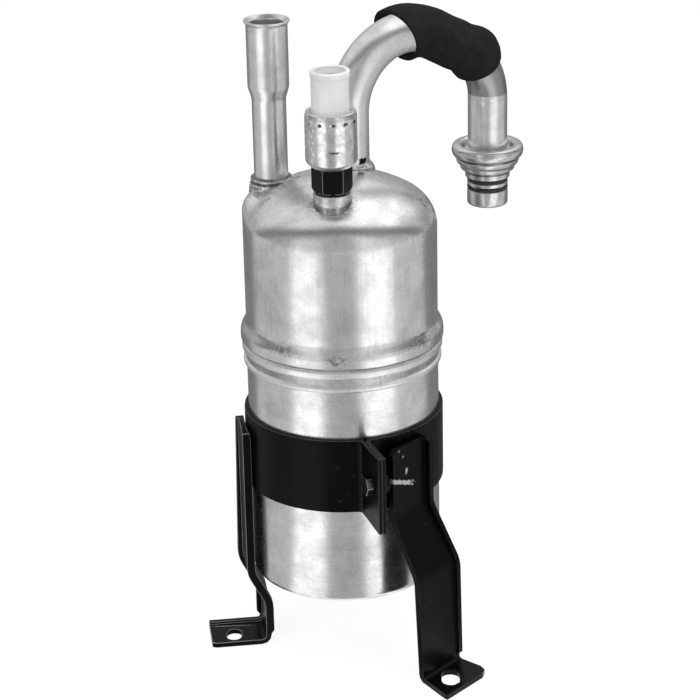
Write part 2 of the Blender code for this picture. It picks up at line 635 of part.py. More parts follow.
def box_mesh(low, high, taper=1.0):
    """Upright block between two corners, its top narrowed by taper."""
    middle = Vector(((low[0] + high[0]) / 2, (low[1] + high[1]) / 2, 0.0))
    half = Vector(((high[0] - low[0]) / 2, (high[1] - low[1]) / 2, 0.0))
    ridge = high[2] - half.y if taper < 1.0 else high[2]
    stations = []
    for height, scale in ((low[2], 1.0), (ridge, 1.0), (high[2], taper)):
        if stations and height == stations[-1][0][2]:
            continue
        loop = []
        for x, y in ((-1, -1), (1, -1), (1, 1), (-1, 1)):
            loop.append((middle.x + half.x * x * scale, middle.y + half.y * y * scale, height))
        stations.append(loop)
    return loft(stations)


def lug_frame():
    """Start point, direction and side normal of the clamp lugs' middle plane."""
    middle = BAND_INNER + BAND_SHEET / 2
    along = Vector((math.cos(LUG_AZIMUTH), math.sin(LUG_AZIMUTH)))
    across = Vector((-along.y, along.x))
    start = Vector((math.cos(SPLIT_AZIMUTH), math.sin(SPLIT_AZIMUTH))) * middle
    return start, along, across


def lug_fold(side):
    """Fold from the band to one lug, as arc points from the lug's side."""
    start, along, across = lug_frame()
    middle = BAND_INNER + BAND_SHEET / 2
    plane = side * (LUG_GAP + BAND_SHEET) / 2
    fold = LUG_FOLD + BAND_SHEET / 2
    base = start + across * (plane + side * fold)
    reach = base.dot(along)
    step = -reach + math.sqrt(reach ** 2 - base.length_squared + (middle + fold) ** 2)
    centre = base + along * step
    first = math.atan2(-side * across.y, -side * across.x)
    toward_band = -centre
    second = math.atan2(toward_band.y, toward_band.x)
    turn = (second - first + math.pi) % (2 * math.pi) - math.pi
    return centre, fold, first, turn, plane


def build_band(parent):
    """Clamp band, one strip with both ends folded out as lugs, and its bolt."""
    start, along, across = lug_frame()
    half = BAND_SHEET / 2
    middle = BAND_INNER + half
    rims = []
    for side in (1.0, -1.0):
        centre, fold, first, turn, plane = lug_fold(side)
        outer_rim = []
        inner_rim = []
        tail = start + along * LUG_LENGTH + across * plane
        outer_rim.append(tail + across * side * half)
        inner_rim.append(tail - across * side * half)
        for step in range(5):
            angle = first + turn * step / 4
            spoke = Vector((math.cos(angle), math.sin(angle)))
            outer_rim.append(centre + spoke * (fold - half))
            inner_rim.append(centre + spoke * (fold + half))
        rims.append((outer_rim, inner_rim, math.atan2(centre.y, centre.x)))
    (right_outer, right_inner, right_end), (left_outer, left_inner, left_end) = rims
    span = (left_end - right_end) % (2 * math.pi)
    steps = 48
    outer = list(right_outer)
    inner = list(right_inner)
    for step in range(1, steps):
        angle = right_end + span * step / steps
        spoke = Vector((math.cos(angle), math.sin(angle)))
        outer.append(spoke * BAND_OUTER)
        inner.append(spoke * BAND_INNER)
    outer += left_outer[::-1]
    inner += left_inner[::-1]
    stations = []
    for index, (out, back) in enumerate(zip(outer, inner)):
        low = BAND_BOTTOM
        if index in (0, len(outer) - 1):
            low -= LUG_DROP
        stations.append([(out.x, out.y, low), (out.x, out.y, BAND_TOP),
                         (back.x, back.y, BAND_TOP), (back.x, back.y, low)])
    band = add_piece("clamp_band", loft(stations), BLACK_PAINT, parent=parent)

    axis = start + along * BOLT_ALONG
    spot = (axis.x, axis.y, BOLT_HEIGHT)
    ends = []
    for side in (-1.0, 1.0):
        point = axis + across * side * 0.02
        ends.append((point.x, point.y, BOLT_HEIGHT))
    bolt_hole = add_cutter("bolt_hole", rod_mesh(*ends, BOLT_RADIUS + GAP), parent=parent)
    cut(band, bolt_hole)

    face = LUG_GAP / 2 + BAND_SHEET + GAP
    turn = math.atan2(across.y, across.x)
    bolt = bolt_mesh(face, turn)
    add_piece("clamp_bolt", bolt, STEEL, spot, parent, 25.0)
    rim = HEAD_CORNER + 0.3 * MM
    washer = side_turned([(BOLT_RADIUS + GAP, face), (rim, face),
                          (rim, face + WASHER_THICKNESS),
                          (BOLT_RADIUS + GAP, face + WASHER_THICKNESS)], turn, 20)
    add_piece("clamp_washer", washer, STEEL, spot, parent)
    seat = face + WASHER_THICKNESS + GAP
    nut = loft([side_hexagon(HEAD_CORNER, seat, turn),
                side_hexagon(HEAD_CORNER, seat + NUT_THICKNESS, turn)])
    cut(add_piece("clamp_nut", nut, STEEL, spot, parent, 25.0), bolt_hole)


def side_point(radius, angle, distance, turn):
    """Point round a level axis that points along the azimuth turn."""
    level = radius * math.cos(angle)
    return (distance * math.cos(turn) - level * math.sin(turn),
            distance * math.sin(turn) + level * math.cos(turn),
            radius * math.sin(angle))


def side_hexagon(radius, distance, turn):
    """Hexagon round a level axis."""
    return [side_point(radius, corner * math.pi / 3, distance, turn) for corner in range(6)]


def side_turned(outline, turn, steps):
    """Revolve a closed outline of (radius, distance) about a level axis."""
    stations = []
    for radius, distance in outline:
        stations.append([side_point(radius, 2 * math.pi * step / steps, distance, turn)
                         for step in range(steps)])
    return loft(stations, wrap=True)


def bolt_mesh(face, turn):
    """Hexagon head and shank of the clamp bolt, in one solid."""
    sides = 24
    stations = []
    for distance in (-face - BOLT_HEAD, -face):
        loop = []
        for step in range(sides):
            angle = 2 * math.pi * step / sides
            within = (angle + math.pi / 6) % (math.pi / 3) - math.pi / 6
            flat = HEAD_CORNER * math.cos(math.pi / 6) / math.cos(math.pi / 6 - abs(within))
            loop.append(side_point(flat, angle, distance, turn))
        stations.append(loop)
    end = face + WASHER_THICKNESS + NUT_THICKNESS + GAP + BOLT_TAIL
    for radius, distance in ((BOLT_RADIUS, -face), (BOLT_RADIUS, end - 0.8 * MM),
                             (BOLT_RADIUS - 0.7 * MM, end)):
        stations.append([side_point(radius, 2 * math.pi * step / sides, distance, turn)
                         for step in range(sides)])
    return loft(stations)


def leg_mesh(azimuth, rows, inward, outward, inward_side):
    """Bent sheet leg with a flange on either edge.

    rows: (distance, height, bend radius, low edge, high edge, share of the
    inward flange, share of the outward flange) at each corner of the web's
    outer face, from the top to the end of the foot.
    """
    corners = [row[:3] for row in rows]
    face = filleted(corners)
    back = filleted(offset_corners(corners, -LEG_SHEET))
    deep = filleted(offset_corners(corners, -LEG_SHEET - inward))
    proud = filleted(offset_corners(corners, outward))
    repeats = (len(face) - 2) // (len(rows) - 2)
    spread = [rows[0]]
    for row in rows[1:-1]:
        spread += [row] * repeats
    spread.append(rows[-1])
    stations = []
    for index, row in enumerate(spread):
        low, high, share_in, share_out = row[3:]
        near, far = (low, high) if inward_side < 0 else (high, low)
        step = LEG_SHEET if near < far else -LEG_SHEET
        inner = Vector(back[index]).lerp(Vector(deep[index]), share_in)
        outer = Vector(face[index]).lerp(Vector(proud[index]), share_out)
        section = [(near, face[index]), (near, inner), (near + step, inner),
                   (near + step, back[index]), (far, back[index]), (far, outer),
                   (far - step, outer), (far - step, face[index])]
        stations.append([plane_point((0.0, 0.0), azimuth, point[0], point[1], side)
                         for side, point in section])
    return loft(stations)


def slot_mesh(azimuth, distance, side, half_width, half_length):
    """Upright cutter for a slot in a foot, its length along Y."""
    middle = plane_point((0.0, 0.0), azimuth, distance, 0.0, side)
    stations = []
    for height in (SOLE - 0.01, SOLE + 0.01):
        loop = []
        shift = half_length - half_width
        for start, move in ((0.0, shift), (math.pi, -shift)):
            for x, y in arc(middle[:2], half_width, start, start + math.pi, 8):
                loop.append((x, y + move, height))
        stations.append(loop)
    return loft(stations)


def build_left_leg(parent):
    """Leg on the inlet side: hugs the band, tucks under, foot turned out."""
    face = LEFT_FACE
    tucked = face - 8.2 * MM
    step = SOLE + LEG_SHEET
    low = -10.0 * MM
    high = 14.0 * MM
    back = low + 2.0 * MM
    end = face + 18.2 * MM
    beside_band = math.sqrt(BAND_OUTER ** 2 - (high - LEG_SHEET) ** 2)
    inward = face - LEG_SHEET - GAP - beside_band
    rows = [(face, LEFT_TOP, 0.0, low + 3.5 * MM, high - 3.5 * MM, 0.0, 0.5),
            (face, LEFT_TOP - 1.2 * MM, 0.0, low + 1.0 * MM, high - 1.0 * MM, 0.6, 0.5),
            (face, LEFT_TOP - 3.6 * MM, 0.0, low, high, 1.0, 0.5),
            (face, LEFT_BENDS[0], 14.0 * MM, low, high, 1.0, 1.0),
            (tucked, LEFT_BENDS[1], 12.0 * MM, low, high, 1.0, 1.0),
            (tucked, step + 4.6 * MM, 0.0, low, high, 1.0, 1.0),
            (tucked, step + 2.8 * MM, 0.0, low, high, 0.0, 0.5),
            (tucked, step, 2.2 * MM, back, high, 0.0, 0.5),
            (end - 2.0 * MM, step, 0.0, back, high, 0.0, 0.5),
            (end, step, 0.0, back, high - 1.0 * MM, 0.0, 0.5)]
    leg = leg_mesh(LEFT_AZIMUTH, rows, inward, 2.6 * MM, 1.0)
    piece = add_piece("left_leg", leg, BLACK_PAINT, parent=parent)
    slot = slot_mesh(LEFT_AZIMUTH, face + 6.9 * MM, high - 7.6 * MM, 3.6 * MM, 5.4 * MM)
    cut(piece, add_cutter("left_foot_hole", slot, parent=parent))


def build_right_leg(parent):
    """Leg beside the clamp lugs: slopes out below the band to a slotted foot."""
    face = RIGHT_FACE
    out = face + 14.0 * MM
    foot = out + 2.4 * MM
    step = SOLE + LEG_SHEET
    end = foot + 18.1 * MM
    start, along, across = lug_frame()
    nut_end = LUG_GAP / 2 + BAND_SHEET + 2 * GAP + WASHER_THICKNESS + NUT_THICKNESS + BOLT_TAIL
    corner = start + along * (BOLT_ALONG - HEAD_CORNER) + across * nut_end
    beside = Vector((-math.sin(RIGHT_AZIMUTH), math.cos(RIGHT_AZIMUTH)))
    edge = corner.dot(beside) + NUT_CLEARANCE
    upper = (edge, edge + 23.7 * MM)
    lower = (edge + 0.5 * MM, edge + 27.5 * MM)
    front = lower[0] - 3.5 * MM
    rows = [(face, RIGHT_TOP, 0.0, upper[0] + 2.5 * MM, upper[1] - 2.5 * MM, 0.0, 1.0),
            (face, RIGHT_TOP - 2.5 * MM, 0.0, *upper, 0.0, 1.0),
            (face, RIGHT_BENDS[0], 14.0 * MM, *upper, 0.0, 1.0),
            (out, RIGHT_BENDS[1], 14.0 * MM, *lower, 0.0, 0.65),
            (foot, step + 3.4 * MM, 0.0, *lower, 0.0, 0.4),
            (foot, step, 2.0 * MM, *lower, 0.0, 0.0),
            (end - 5.0 * MM, step, 0.0, front, lower[1], 0.0, 0.0),
            (end - 1.5 * MM, step, 0.0, front - 1.0 * MM, lower[1] - 1.5 * MM, 0.0, 0.0),
            (end, step, 0.0, front - 1.0 * MM, lower[1] - 5.0 * MM, 0.0, 0.0)]
    leg = leg_mesh(RIGHT_AZIMUTH, rows, 0.0, 3.1 * MM, -1.0)
    piece = add_piece("right_leg", leg, BLACK_PAINT, parent=parent)
    slot = slot_mesh(RIGHT_AZIMUTH, foot + 8.9 * MM, edge + 9.85 * MM, 4.3 * MM, 7.3 * MM)
    cut(piece, add_cutter("right_foot_slot", slot, parent=parent))


def build_internals(parent):
    """Pickup tube, its oil filter, the gas deflector and the desiccant bag."""
    foot = (OUTLET_X, OUTLET_Y)
    bend = bend_path((PICKUP_BEND, PICKUP_LOW + PICKUP_BEND), PICKUP_BEND,
                     math.pi, 2 * math.pi, 8)
    path = [(0.0, OUTLET_FOOT + 5.0 * MM, -math.pi / 2)] + bend
    path.append((2 * PICKUP_BEND, PICKUP_OPEN, math.pi / 2))
    bore = PICKUP_RADIUS - PICKUP_WALL
    tube = tube_mesh(path, [PICKUP_RADIUS] * len(path), [bore] * len(path),
                     foot, PICKUP_AZIMUTH, 10)
    add_piece("pickup_tube", tube, ALUMINIUM, parent=parent)

    spot = plane_point(foot, PICKUP_AZIMUTH, PICKUP_BEND, 0.0)[:2]
    roof = PICKUP_LOW - PICKUP_RADIUS - GAP
    screen = [(0.0, WALL + GAP), (9.0 * MM, WALL + GAP), (9.0 * MM, WALL + 2.0 * MM),
              (7.5 * MM, WALL + 3.0 * MM), (7.5 * MM, roof - 1.5 * MM),
              (6.0 * MM, roof), (0.0, roof)]
    turned("oil_filter", screen, WHITE_PLASTIC, spot, 16, parent, closed=False)

    reach = UPPER_RADIUS - WALL - 4.0 * MM
    roof = DOME_TOP - 27.5 * MM
    cap = [(0.0, roof), (reach - 8.0 * MM, roof - 1.5 * MM),
           (reach - 1.5 * MM, roof - 4.5 * MM), (reach, roof - 11.0 * MM),
           (reach - 1.2 * MM, roof - 11.0 * MM), (reach - 2.6 * MM, roof - 5.4 * MM),
           (reach - 8.6 * MM, roof - 2.7 * MM), (0.0, roof - 1.2 * MM)]
    deflector = turned("gas_deflector", cap, ALUMINIUM, steps=24, parent=parent, closed=False)
    hole = rod_mesh((*foot, roof - 0.02), (*foot, roof + 0.01), PICKUP_RADIUS + GAP, 16)
    cut(deflector, add_cutter("deflector_hole", hole, parent=parent))

    side = PICKUP_AZIMUTH + math.pi / 2
    centre = Vector((*spot, 0.0)) + Vector((math.cos(side), math.sin(side), 0.0)) * 18.4 * MM
    bag = []
    for part in range(9):
        tilt = math.pi * part / 8 - math.pi / 2
        swell = max(math.cos(tilt), 0.0) ** 0.35
        rise = math.copysign(abs(math.sin(tilt)) ** 0.8, math.sin(tilt))
        height = LOWER_HEIGHT * 0.656 + LOWER_HEIGHT * 0.368 * rise
        loop = []
        for step in range(20):
            angle = 2 * math.pi * step / 20
            thick = 12.6 * MM * math.copysign(abs(math.cos(angle)) ** 0.8, math.cos(angle))
            wide = 23.0 * MM * math.copysign(abs(math.sin(angle)) ** 0.8, math.sin(angle))
            scale = max(swell, 0.25)
            loop.append((centre.x + scale * (thick * math.cos(side) - wide * math.sin(side)),
                         centre.y + scale * (thick * math.sin(side) + wide * math.cos(side)),
                         height))
        bag.append(loop)
    add_piece("desiccant_bag", loft(bag), WHITE_CLOTH, parent=parent, crease=60.0)


def main():
    """Build every piece of the drier under one empty."""
    clear_scene()
    drier = bpy.data.objects.new("drier", None)
    bpy.context.scene.collection.objects.link(drier)
    dome_guide = build_canister(drier)
    build_inlet(drier, dome_guide)
    build_outlet(drier, dome_guide)
    build_coupling(drier)
    build_switch(drier, dome_guide)
    build_band(drier)
    build_left_leg(drier)
    build_right_leg(drier)
    build_internals(drier)


main()
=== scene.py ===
"""Studio picture of a receiver drier for a car air-conditioning circuit.

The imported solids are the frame. Each group of pieces is a class that holds its
sizes in millimetres, builds its meshes and dresses them in the drier's finishes.
"""

from __future__ import annotations

import logging
import math
from dataclasses import dataclass, field
from enum import Enum
from typing import Callable, Sequence

import bmesh
import bpy
from mathutils import Matrix, Vector, noise

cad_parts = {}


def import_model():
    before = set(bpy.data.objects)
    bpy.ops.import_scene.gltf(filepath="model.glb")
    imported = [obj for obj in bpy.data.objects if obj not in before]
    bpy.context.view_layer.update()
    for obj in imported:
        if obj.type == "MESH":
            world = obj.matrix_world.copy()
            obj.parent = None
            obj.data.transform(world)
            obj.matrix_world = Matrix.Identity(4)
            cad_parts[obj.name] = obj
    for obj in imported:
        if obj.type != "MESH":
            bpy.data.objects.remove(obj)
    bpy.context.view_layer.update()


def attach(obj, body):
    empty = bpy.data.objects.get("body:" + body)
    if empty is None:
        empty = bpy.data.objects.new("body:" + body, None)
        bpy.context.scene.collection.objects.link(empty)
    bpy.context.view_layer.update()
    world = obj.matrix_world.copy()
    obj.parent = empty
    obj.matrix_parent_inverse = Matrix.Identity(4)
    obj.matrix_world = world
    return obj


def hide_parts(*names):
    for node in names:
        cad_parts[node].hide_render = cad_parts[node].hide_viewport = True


MM = 0.001
NOISE_SEED = 2
LOG = logging.getLogger("drier")

SHARP_EDGE = math.radians(32.0)
Outline = list[tuple[float, float]]
Wobble = Callable[[Vector], Vector]


# Shader help


class NodeSheet:
    """One material's node tree, with short ways to add and join nodes."""

    def __init__(self, name: str) -> None:
        """Start a material with a Principled shader.

        Args:
            name: the material's name.
        """
        self.material = bpy.data.materials.new(name)
        self.material.use_nodes = True
        self.tree = self.material.node_tree
        self.shader = self.tree.nodes["Principled BSDF"]
        self.output = self.tree.nodes["Material Output"]

    def add(self, kind: str, inputs: dict[str, object] | None = None, **settings: object) -> bpy.types.Node:
        """Add a node.

        Args:
            kind: the node's type, without the ShaderNode prefix.
            inputs: socket values or links by socket name.
            settings: the node's own properties.

        Returns:
            The new node.
        """
        node = self.tree.nodes.new("ShaderNode" + kind)
        for key, value in settings.items():
            setattr(node, key, value)
        for key, value in (inputs or {}).items():
            self.feed(node.inputs[key], value)
        return node

    def feed(self, socket: bpy.types.NodeSocket, value: object) -> None:
        """Link an output to a socket, or set the socket's value."""
        if isinstance(value, bpy.types.NodeSocket):
            self.tree.links.new(value, socket)
        else:
            socket.default_value = value

    def place(self, stretch: tuple[float, float, float] = (1.0, 1.0, 1.0)) -> bpy.types.NodeSocket:
        """Object coordinates, stretched by the given factors."""
        where = self.add("TexCoord").outputs["Object"]
        if stretch == (1.0, 1.0, 1.0):
            return where
        return self.add("Mapping", {"Vector": where, "Scale": stretch}).outputs["Vector"]

    def cloud(self, size: float, detail: float = 4.0, rough: float = 0.55,
              stretch: tuple[float, float, float] = (1.0, 1.0, 1.0)) -> bpy.types.NodeSocket:
        """Noise whose patches are about one size.

        Args:
            size: patch size in millimetres.
            detail: number of octaves.
            rough: weight of the finer octaves.
            stretch: factors on the coordinates.

        Returns:
            The noise value's socket.
        """
        made = self.add("TexNoise", {"Vector": self.place(stretch), "Scale": 1000.0 / size,
                                     "Detail": detail, "Roughness": rough})
        return made.outputs["Fac"]

    def ramp(self, value: bpy.types.NodeSocket, low: float, high: float,
             start: float = 0.3, end: float = 0.7) -> bpy.types.NodeSocket:
        """Map a value from start..end to low..high."""
        made = self.add("MapRange", {"Value": value, "From Min": start, "From Max": end,
                                     "To Min": low, "To Max": high})
        return made.outputs["Result"]

    def math(self, operation: str, first: object, second: object = 0.0) -> bpy.types.NodeSocket:
        """Arithmetic on one or two values."""
        made = self.add("Math", operation=operation)
        self.feed(made.inputs[0], first)
        self.feed(made.inputs[1], second)
        return made.outputs["Value"]

    def grey(self, value: bpy.types.NodeSocket) -> None:
        """Use one value as a neutral base colour."""
        made = self.add("CombineColor", {"Red": value, "Green": value, "Blue": value})
        self.feed(self.shader.inputs["Base Color"], made.outputs["Color"])

    def spotted(self, tone: bpy.types.NodeSocket, spots: Sequence[Spot]) -> bpy.types.NodeSocket:
        """Lay spots over a tone.

        Args:
            tone: the surface's own tone.
            spots: the spots, each with its own tone.

        Returns:
            The tone with the spots on it.
        """
        for spot in spots:
            mask = spot.mask(self)
            kept = self.math("MULTIPLY", tone, self.math("SUBTRACT", 1.0, mask))
            tone = self.math("ADD", kept, self.math("MULTIPLY", mask, spot.tone))
        return tone

    def bump(self, reliefs: Sequence[tuple[bpy.types.NodeSocket, float]]) -> None:
        """Stack reliefs on the surface.

        Args:
            reliefs: pairs of height value and depth in millimetres.
        """
        normal = None
        for height, depth in reliefs:
            made = self.add("Bump", {"Height": height, "Strength": 1.0, "Distance": depth * MM})
            if normal is not None:
                self.feed(made.inputs["Normal"], normal)
            normal = made.outputs["Normal"]
        self.feed(self.shader.inputs["Normal"], normal)


@dataclass(frozen=True)
class Spot:
    """A patch of another tone at one place, such as a stain, a label, painted shade or a painted highlight:
    an ellipsoid or a box in millimetres.

    Its own X axis is turned about the upright by turn degrees, and the spot is
    then tilted about that axis.
    """

    place: tuple[float, float, float]
    size: tuple[float, float, float]
    tone: float
    turn: float = 0.0
    tilt: float = 0.0
    soft: float = 0.5
    ragged: float = 0.3
    boxed: bool = False

    def mask(self, sheet: NodeSheet) -> bpy.types.NodeSocket:
        """Build the nodes that are 1 inside the spot and 0 outside it.

        Args:
            sheet: the material's sheet.

        Returns:
            The mask's socket.
        """
        turns = (math.radians(self.tilt), 0.0, math.radians(self.turn))
        place = tuple(value * MM for value in self.place)
        size = tuple(value * MM for value in self.size)
        local = sheet.add("Mapping", {"Vector": sheet.place(), "Location": place, "Rotation": turns,
                                      "Scale": size}, vector_type="TEXTURE").outputs["Vector"]
        if self.boxed:
            parts = sheet.add("SeparateXYZ", {"Vector": local})
            sides = [sheet.math("ABSOLUTE", parts.outputs[axis]) for axis in ("X", "Y", "Z")]
            gap = sheet.math("MAXIMUM", sheet.math("MAXIMUM", sides[0], sides[1]), sides[2])
        else:
            gap = sheet.add("VectorMath", {"Vector": local}, operation="LENGTH").outputs["Value"]
        torn = sheet.ramp(sheet.cloud(1.6, 3.0, 0.6), -self.ragged, self.ragged)
        return sheet.ramp(sheet.math("ADD", gap, torn), 0.0, 1.0, 1.0, 1.0 - self.soft)


class Marks(Enum):
    """How a metal surface was worked."""

    DRAWN = "drawn"
    TURNED = "turned"
    PLAIN = "plain"


@dataclass(frozen=True)
class BareMetal:
    """Bare aluminium or plated steel with stains, grain, tool marks and laid-on spots, some of which are
    painted shade in hollows.

    Tones are linear greys, patches are in millimetres.
    """

    name: str
    dark: float = 0.50
    light: float = 0.74
    smooth: float = 0.24
    coarse: float = 0.40
    patch: float = 16.0
    marks: Marks = Marks.DRAWN
    line_depth: float = 0.004
    grain_depth: float = 0.004
    scuffs: float = 0.5
    swell: float = 0.0
    spots: tuple[Spot, ...] = ()

    def make(self) -> bpy.types.Material:
        """Build the material."""
        sheet = NodeSheet(self.name)
        patches = sheet.cloud(self.patch, 5.0, 0.6)
        fine = sheet.cloud(1.1, 3.0, 0.6)
        flecks = sheet.cloud(4.5, 6.0, 0.7)
        speck = sheet.ramp(flecks, 0.0, self.scuffs * 0.45, 0.60, 0.72)
        tone = sheet.ramp(patches, self.dark, self.light, 0.32, 0.62)
        tone = sheet.math("ADD", tone, sheet.ramp(fine, -0.05, 0.05))
        tone = sheet.math("SUBTRACT", tone, sheet.math("MULTIPLY", speck, 0.35))
        if self.marks is not Marks.PLAIN:
            stretch = (0.02, 0.02, 1.0) if self.marks is Marks.TURNED else (1.0, 1.0, 0.03)
            lines = sheet.cloud(0.55 if self.marks is Marks.TURNED else 1.4, 4.0, 0.75, stretch)
            tone = sheet.math("ADD", tone, sheet.ramp(lines, -0.06, 0.06))
        sheet.grey(sheet.spotted(tone, self.spots))
        rough = sheet.ramp(patches, self.coarse, self.smooth, 0.34, 0.64)
        rough = sheet.math("ADD", rough, sheet.math("MULTIPLY", speck, 0.25))
        sheet.feed(sheet.shader.inputs["Roughness"], rough)
        sheet.shader.inputs["Metallic"].default_value = 1.0
        reliefs = [(fine, self.grain_depth), (flecks, self.grain_depth * 1.5)]
        if self.swell:
            reliefs.append((sheet.cloud(self.patch * 0.6, 2.0, 0.4), self.swell))
        if self.marks is not Marks.PLAIN:
            reliefs.append((lines, self.line_depth))
        sheet.bump(reliefs)
        return sheet.material


@dataclass(frozen=True)
class SatinPaint:
    """Black satin coat on pressed steel, with dust specks and laid-on spots: here a pale label and painted
    highlights.
    """

    name: str
    tone: float = 0.0018
    roughness: float = 0.30
    gloss: float = 0.10
    spots: tuple[Spot, ...] = ()

    def make(self) -> bpy.types.Material:
        """Build the material."""
        sheet = NodeSheet(self.name)
        wide = sheet.cloud(22.0, 4.0)
        fine = sheet.cloud(0.8, 2.0)
        dots = sheet.cloud(2.4, 2.0, 0.5)
        dust = sheet.ramp(dots, 0.0, 0.02, 0.70, 0.78)
        tone = sheet.ramp(wide, self.tone * 0.7, self.tone * 1.4)
        sheet.grey(sheet.spotted(sheet.math("ADD", tone, dust), self.spots))
        sheet.feed(sheet.shader.inputs["Roughness"],
                   sheet.ramp(wide, self.roughness - 0.05, self.roughness + 0.10))
        sheet.shader.inputs["Specular IOR Level"].default_value = self.gloss
        sheet.bump([(fine, 0.012), (wide, 0.05)])
        return sheet.material


@dataclass(frozen=True)
class FoamRubber:
    """Closed-cell black foam: matt, pored, with soft dents."""

    name: str
    tone: float = 0.0125

    def make(self) -> bpy.types.Material:
        """Build the material."""
        sheet = NodeSheet(self.name)
        cells = sheet.add("TexVoronoi", {"Vector": sheet.place(), "Scale": 1400.0})
        lumps = sheet.cloud(7.0, 4.0, 0.6)
        fine = sheet.cloud(0.7, 4.0, 0.7)
        tone = sheet.ramp(lumps, self.tone * 0.75, self.tone * 1.35)
        tone = sheet.math("MULTIPLY", tone, sheet.ramp(fine, 0.8, 1.25))
        sheet.grey(tone)
        sheet.shader.inputs["Roughness"].default_value = 0.86
        sheet.shader.inputs["Specular IOR Level"].default_value = 0.08
        sheet.bump([(cells.outputs["Distance"], 0.10), (fine, 0.08), (lumps, 0.45)])
        return sheet.material


@dataclass(frozen=True)
class Moulding:
    """Moulded plastic or rubber in one tone, with a fine skin."""

    name: str
    tone: float = 0.012
    roughness: float = 0.42
    glow: float = 0.0
    relief: float = 0.01
    gloss: float = 0.5

    def make(self) -> bpy.types.Material:
        """Build the material."""
        sheet = NodeSheet(self.name)
        wide = sheet.cloud(9.0, 3.0)
        fine = sheet.cloud(0.9, 3.0)
        sheet.grey(sheet.ramp(wide, self.tone * 0.93, self.tone * 1.06))
        sheet.feed(sheet.shader.inputs["Roughness"],
                   sheet.ramp(wide, self.roughness - 0.05, self.roughness + 0.06))
        sheet.shader.inputs["Specular IOR Level"].default_value = self.gloss
        if self.glow:
            sheet.shader.inputs["Subsurface Weight"].default_value = self.glow
            sheet.shader.inputs["Subsurface Radius"].default_value = (1.0, 1.0, 1.0)
            sheet.shader.inputs["Subsurface Scale"].default_value = 2.0 * MM
        sheet.bump([(fine, self.relief), (wide, self.relief * 2.0)])
        return sheet.material


@dataclass(frozen=True)
class BagCloth:
    """Woven bag cloth of the desiccant."""

    name: str
    tone: float = 0.68

    def make(self) -> bpy.types.Material:
        """Build the material."""
        sheet = NodeSheet(self.name)
        warp = sheet.add("TexWave", {"Vector": sheet.place((1.0, 1.0, 0.0)), "Scale": 900.0})
        weft = sheet.add("TexWave", {"Vector": sheet.place((0.0, 0.0, 1.0)), "Scale": 900.0},
                         bands_direction="Z")
        weave = sheet.math("MULTIPLY", warp.outputs["Fac"], weft.outputs["Fac"])
        sheet.grey(sheet.ramp(weave, self.tone * 0.8, self.tone, 0.0, 1.0))
        sheet.shader.inputs["Roughness"].default_value = 0.9
        sheet.bump([(weave, 0.08)])
        return sheet.material


def banded(place: tuple[float, float, float], reach: float, half: float, tone: float,
           soft: float = 0.5, ragged: float = 0.1, tilt: float = 0.0) -> Spot:
    """Level stripe round an upright axis.

    Args:
        place: the stripe's middle.
        reach: how far out the stripe is laid.
        half: half its height.
        tone: its tone.
        soft: width of its faded border.
        ragged: how uneven that border is.
        tilt: lean towards the camera in degrees.

    Returns:
        The spot.
    """
    return Spot(place, (reach, reach, half), tone, 0.0, tilt, soft, ragged, True)


DIMPLE_HEIGHT = 231.9
DASH_HEIGHT = 219.4
CAN_RADIUS = 11.8
SWITCH_SPOT = (-3.0, -25.0)
INLET_SPOT = (-31.4, 14.0)
LEG_TURN = -41.0

SHELL_MARKS_AND_SHADE = (
    Spot((38.5, -8.5, 186.0), (7.0, 3.2, 3.0), 0.28, -12.0, soft=0.9, ragged=0.9),
    Spot((-18.8, 3.7, 195.8), (2.2, 1.2, 1.5), 0.12, 20.0),
    Spot((-34.0, -9.0, 188.0), (9.0, 4.0, 4.0), 0.50, 40.0, soft=0.9, ragged=0.8),
    # Dark patch on the dome round the switch boss: painted shade at the boss's foot.
    Spot((*SWITCH_SPOT, 192.0), (11.2, 11.2, 6.0), 0.10, ragged=0.2),
    banded((0.0, 0.0, 120.2), 60.0, 0.45, 0.30),
    Spot((-4.0, -47.0, 124.0), (5.0, 3.0, 1.8), 0.42, soft=0.9, ragged=1.2),
    Spot((-26.0, -39.0, 127.0), (5.0, 5.0, 2.2), 0.48, soft=0.9, ragged=1.2),
    Spot((36.0, -30.0, 127.0), (6.0, 6.0, 3.0), 0.45, soft=0.9, ragged=1.2))
# Darker bands in the weld bead's groove and along its edges against the shells: painted shade in these
# hollows.
SEAM_GROOVE_SHADE = tuple(banded((0.0, 0.0, height), 60.0, half, tone)
                   for height, half, tone in ((107.9, 0.35, 0.30), (112.7, 1.9, 0.34), (119.3, 0.4, 0.22)))
# Darker band round the boss's lower part, leaning towards the camera: painted shade at its foot.
BOSS_FOOT_SHADE = (banded((*SWITCH_SPOT, 193.6), 14.0, 2.9, 0.06, 0.7, 0.12, 21.0),)
# Dark rings in the inlet weld's groove and at its crease against the tube: painted shade.
INLET_WELD_CREASE_SHADE = (banded((*INLET_SPOT, 191.3), 14.0, 0.5, 0.10, 0.4, 0.2),
              banded((*INLET_SPOT, 193.5), 14.0, 0.25, 0.12, 0.4, 0.2))
# Dark rings in the cage's spring groove and on the tip just under the cage: painted shade.
COUPLING_GROOVE_SHADE = (banded((72.0, 64.0, 185.2), 20.0, 0.5, 0.10, 0.4, 0.05),
                banded((72.0, 64.0, 178.0), 20.0, 0.7, 0.20, 0.5, 0.05))
TUBE_SPOTS = (
    Spot((11.6, 9.6, 200.9), (2.4, 2.6, 1.7), 0.01, -40.0, 0.0, 0.3, 0.3, True),
    banded((72.0, 64.0, 224.9), 12.0, 8.0, 0.40, 0.05, 0.02))
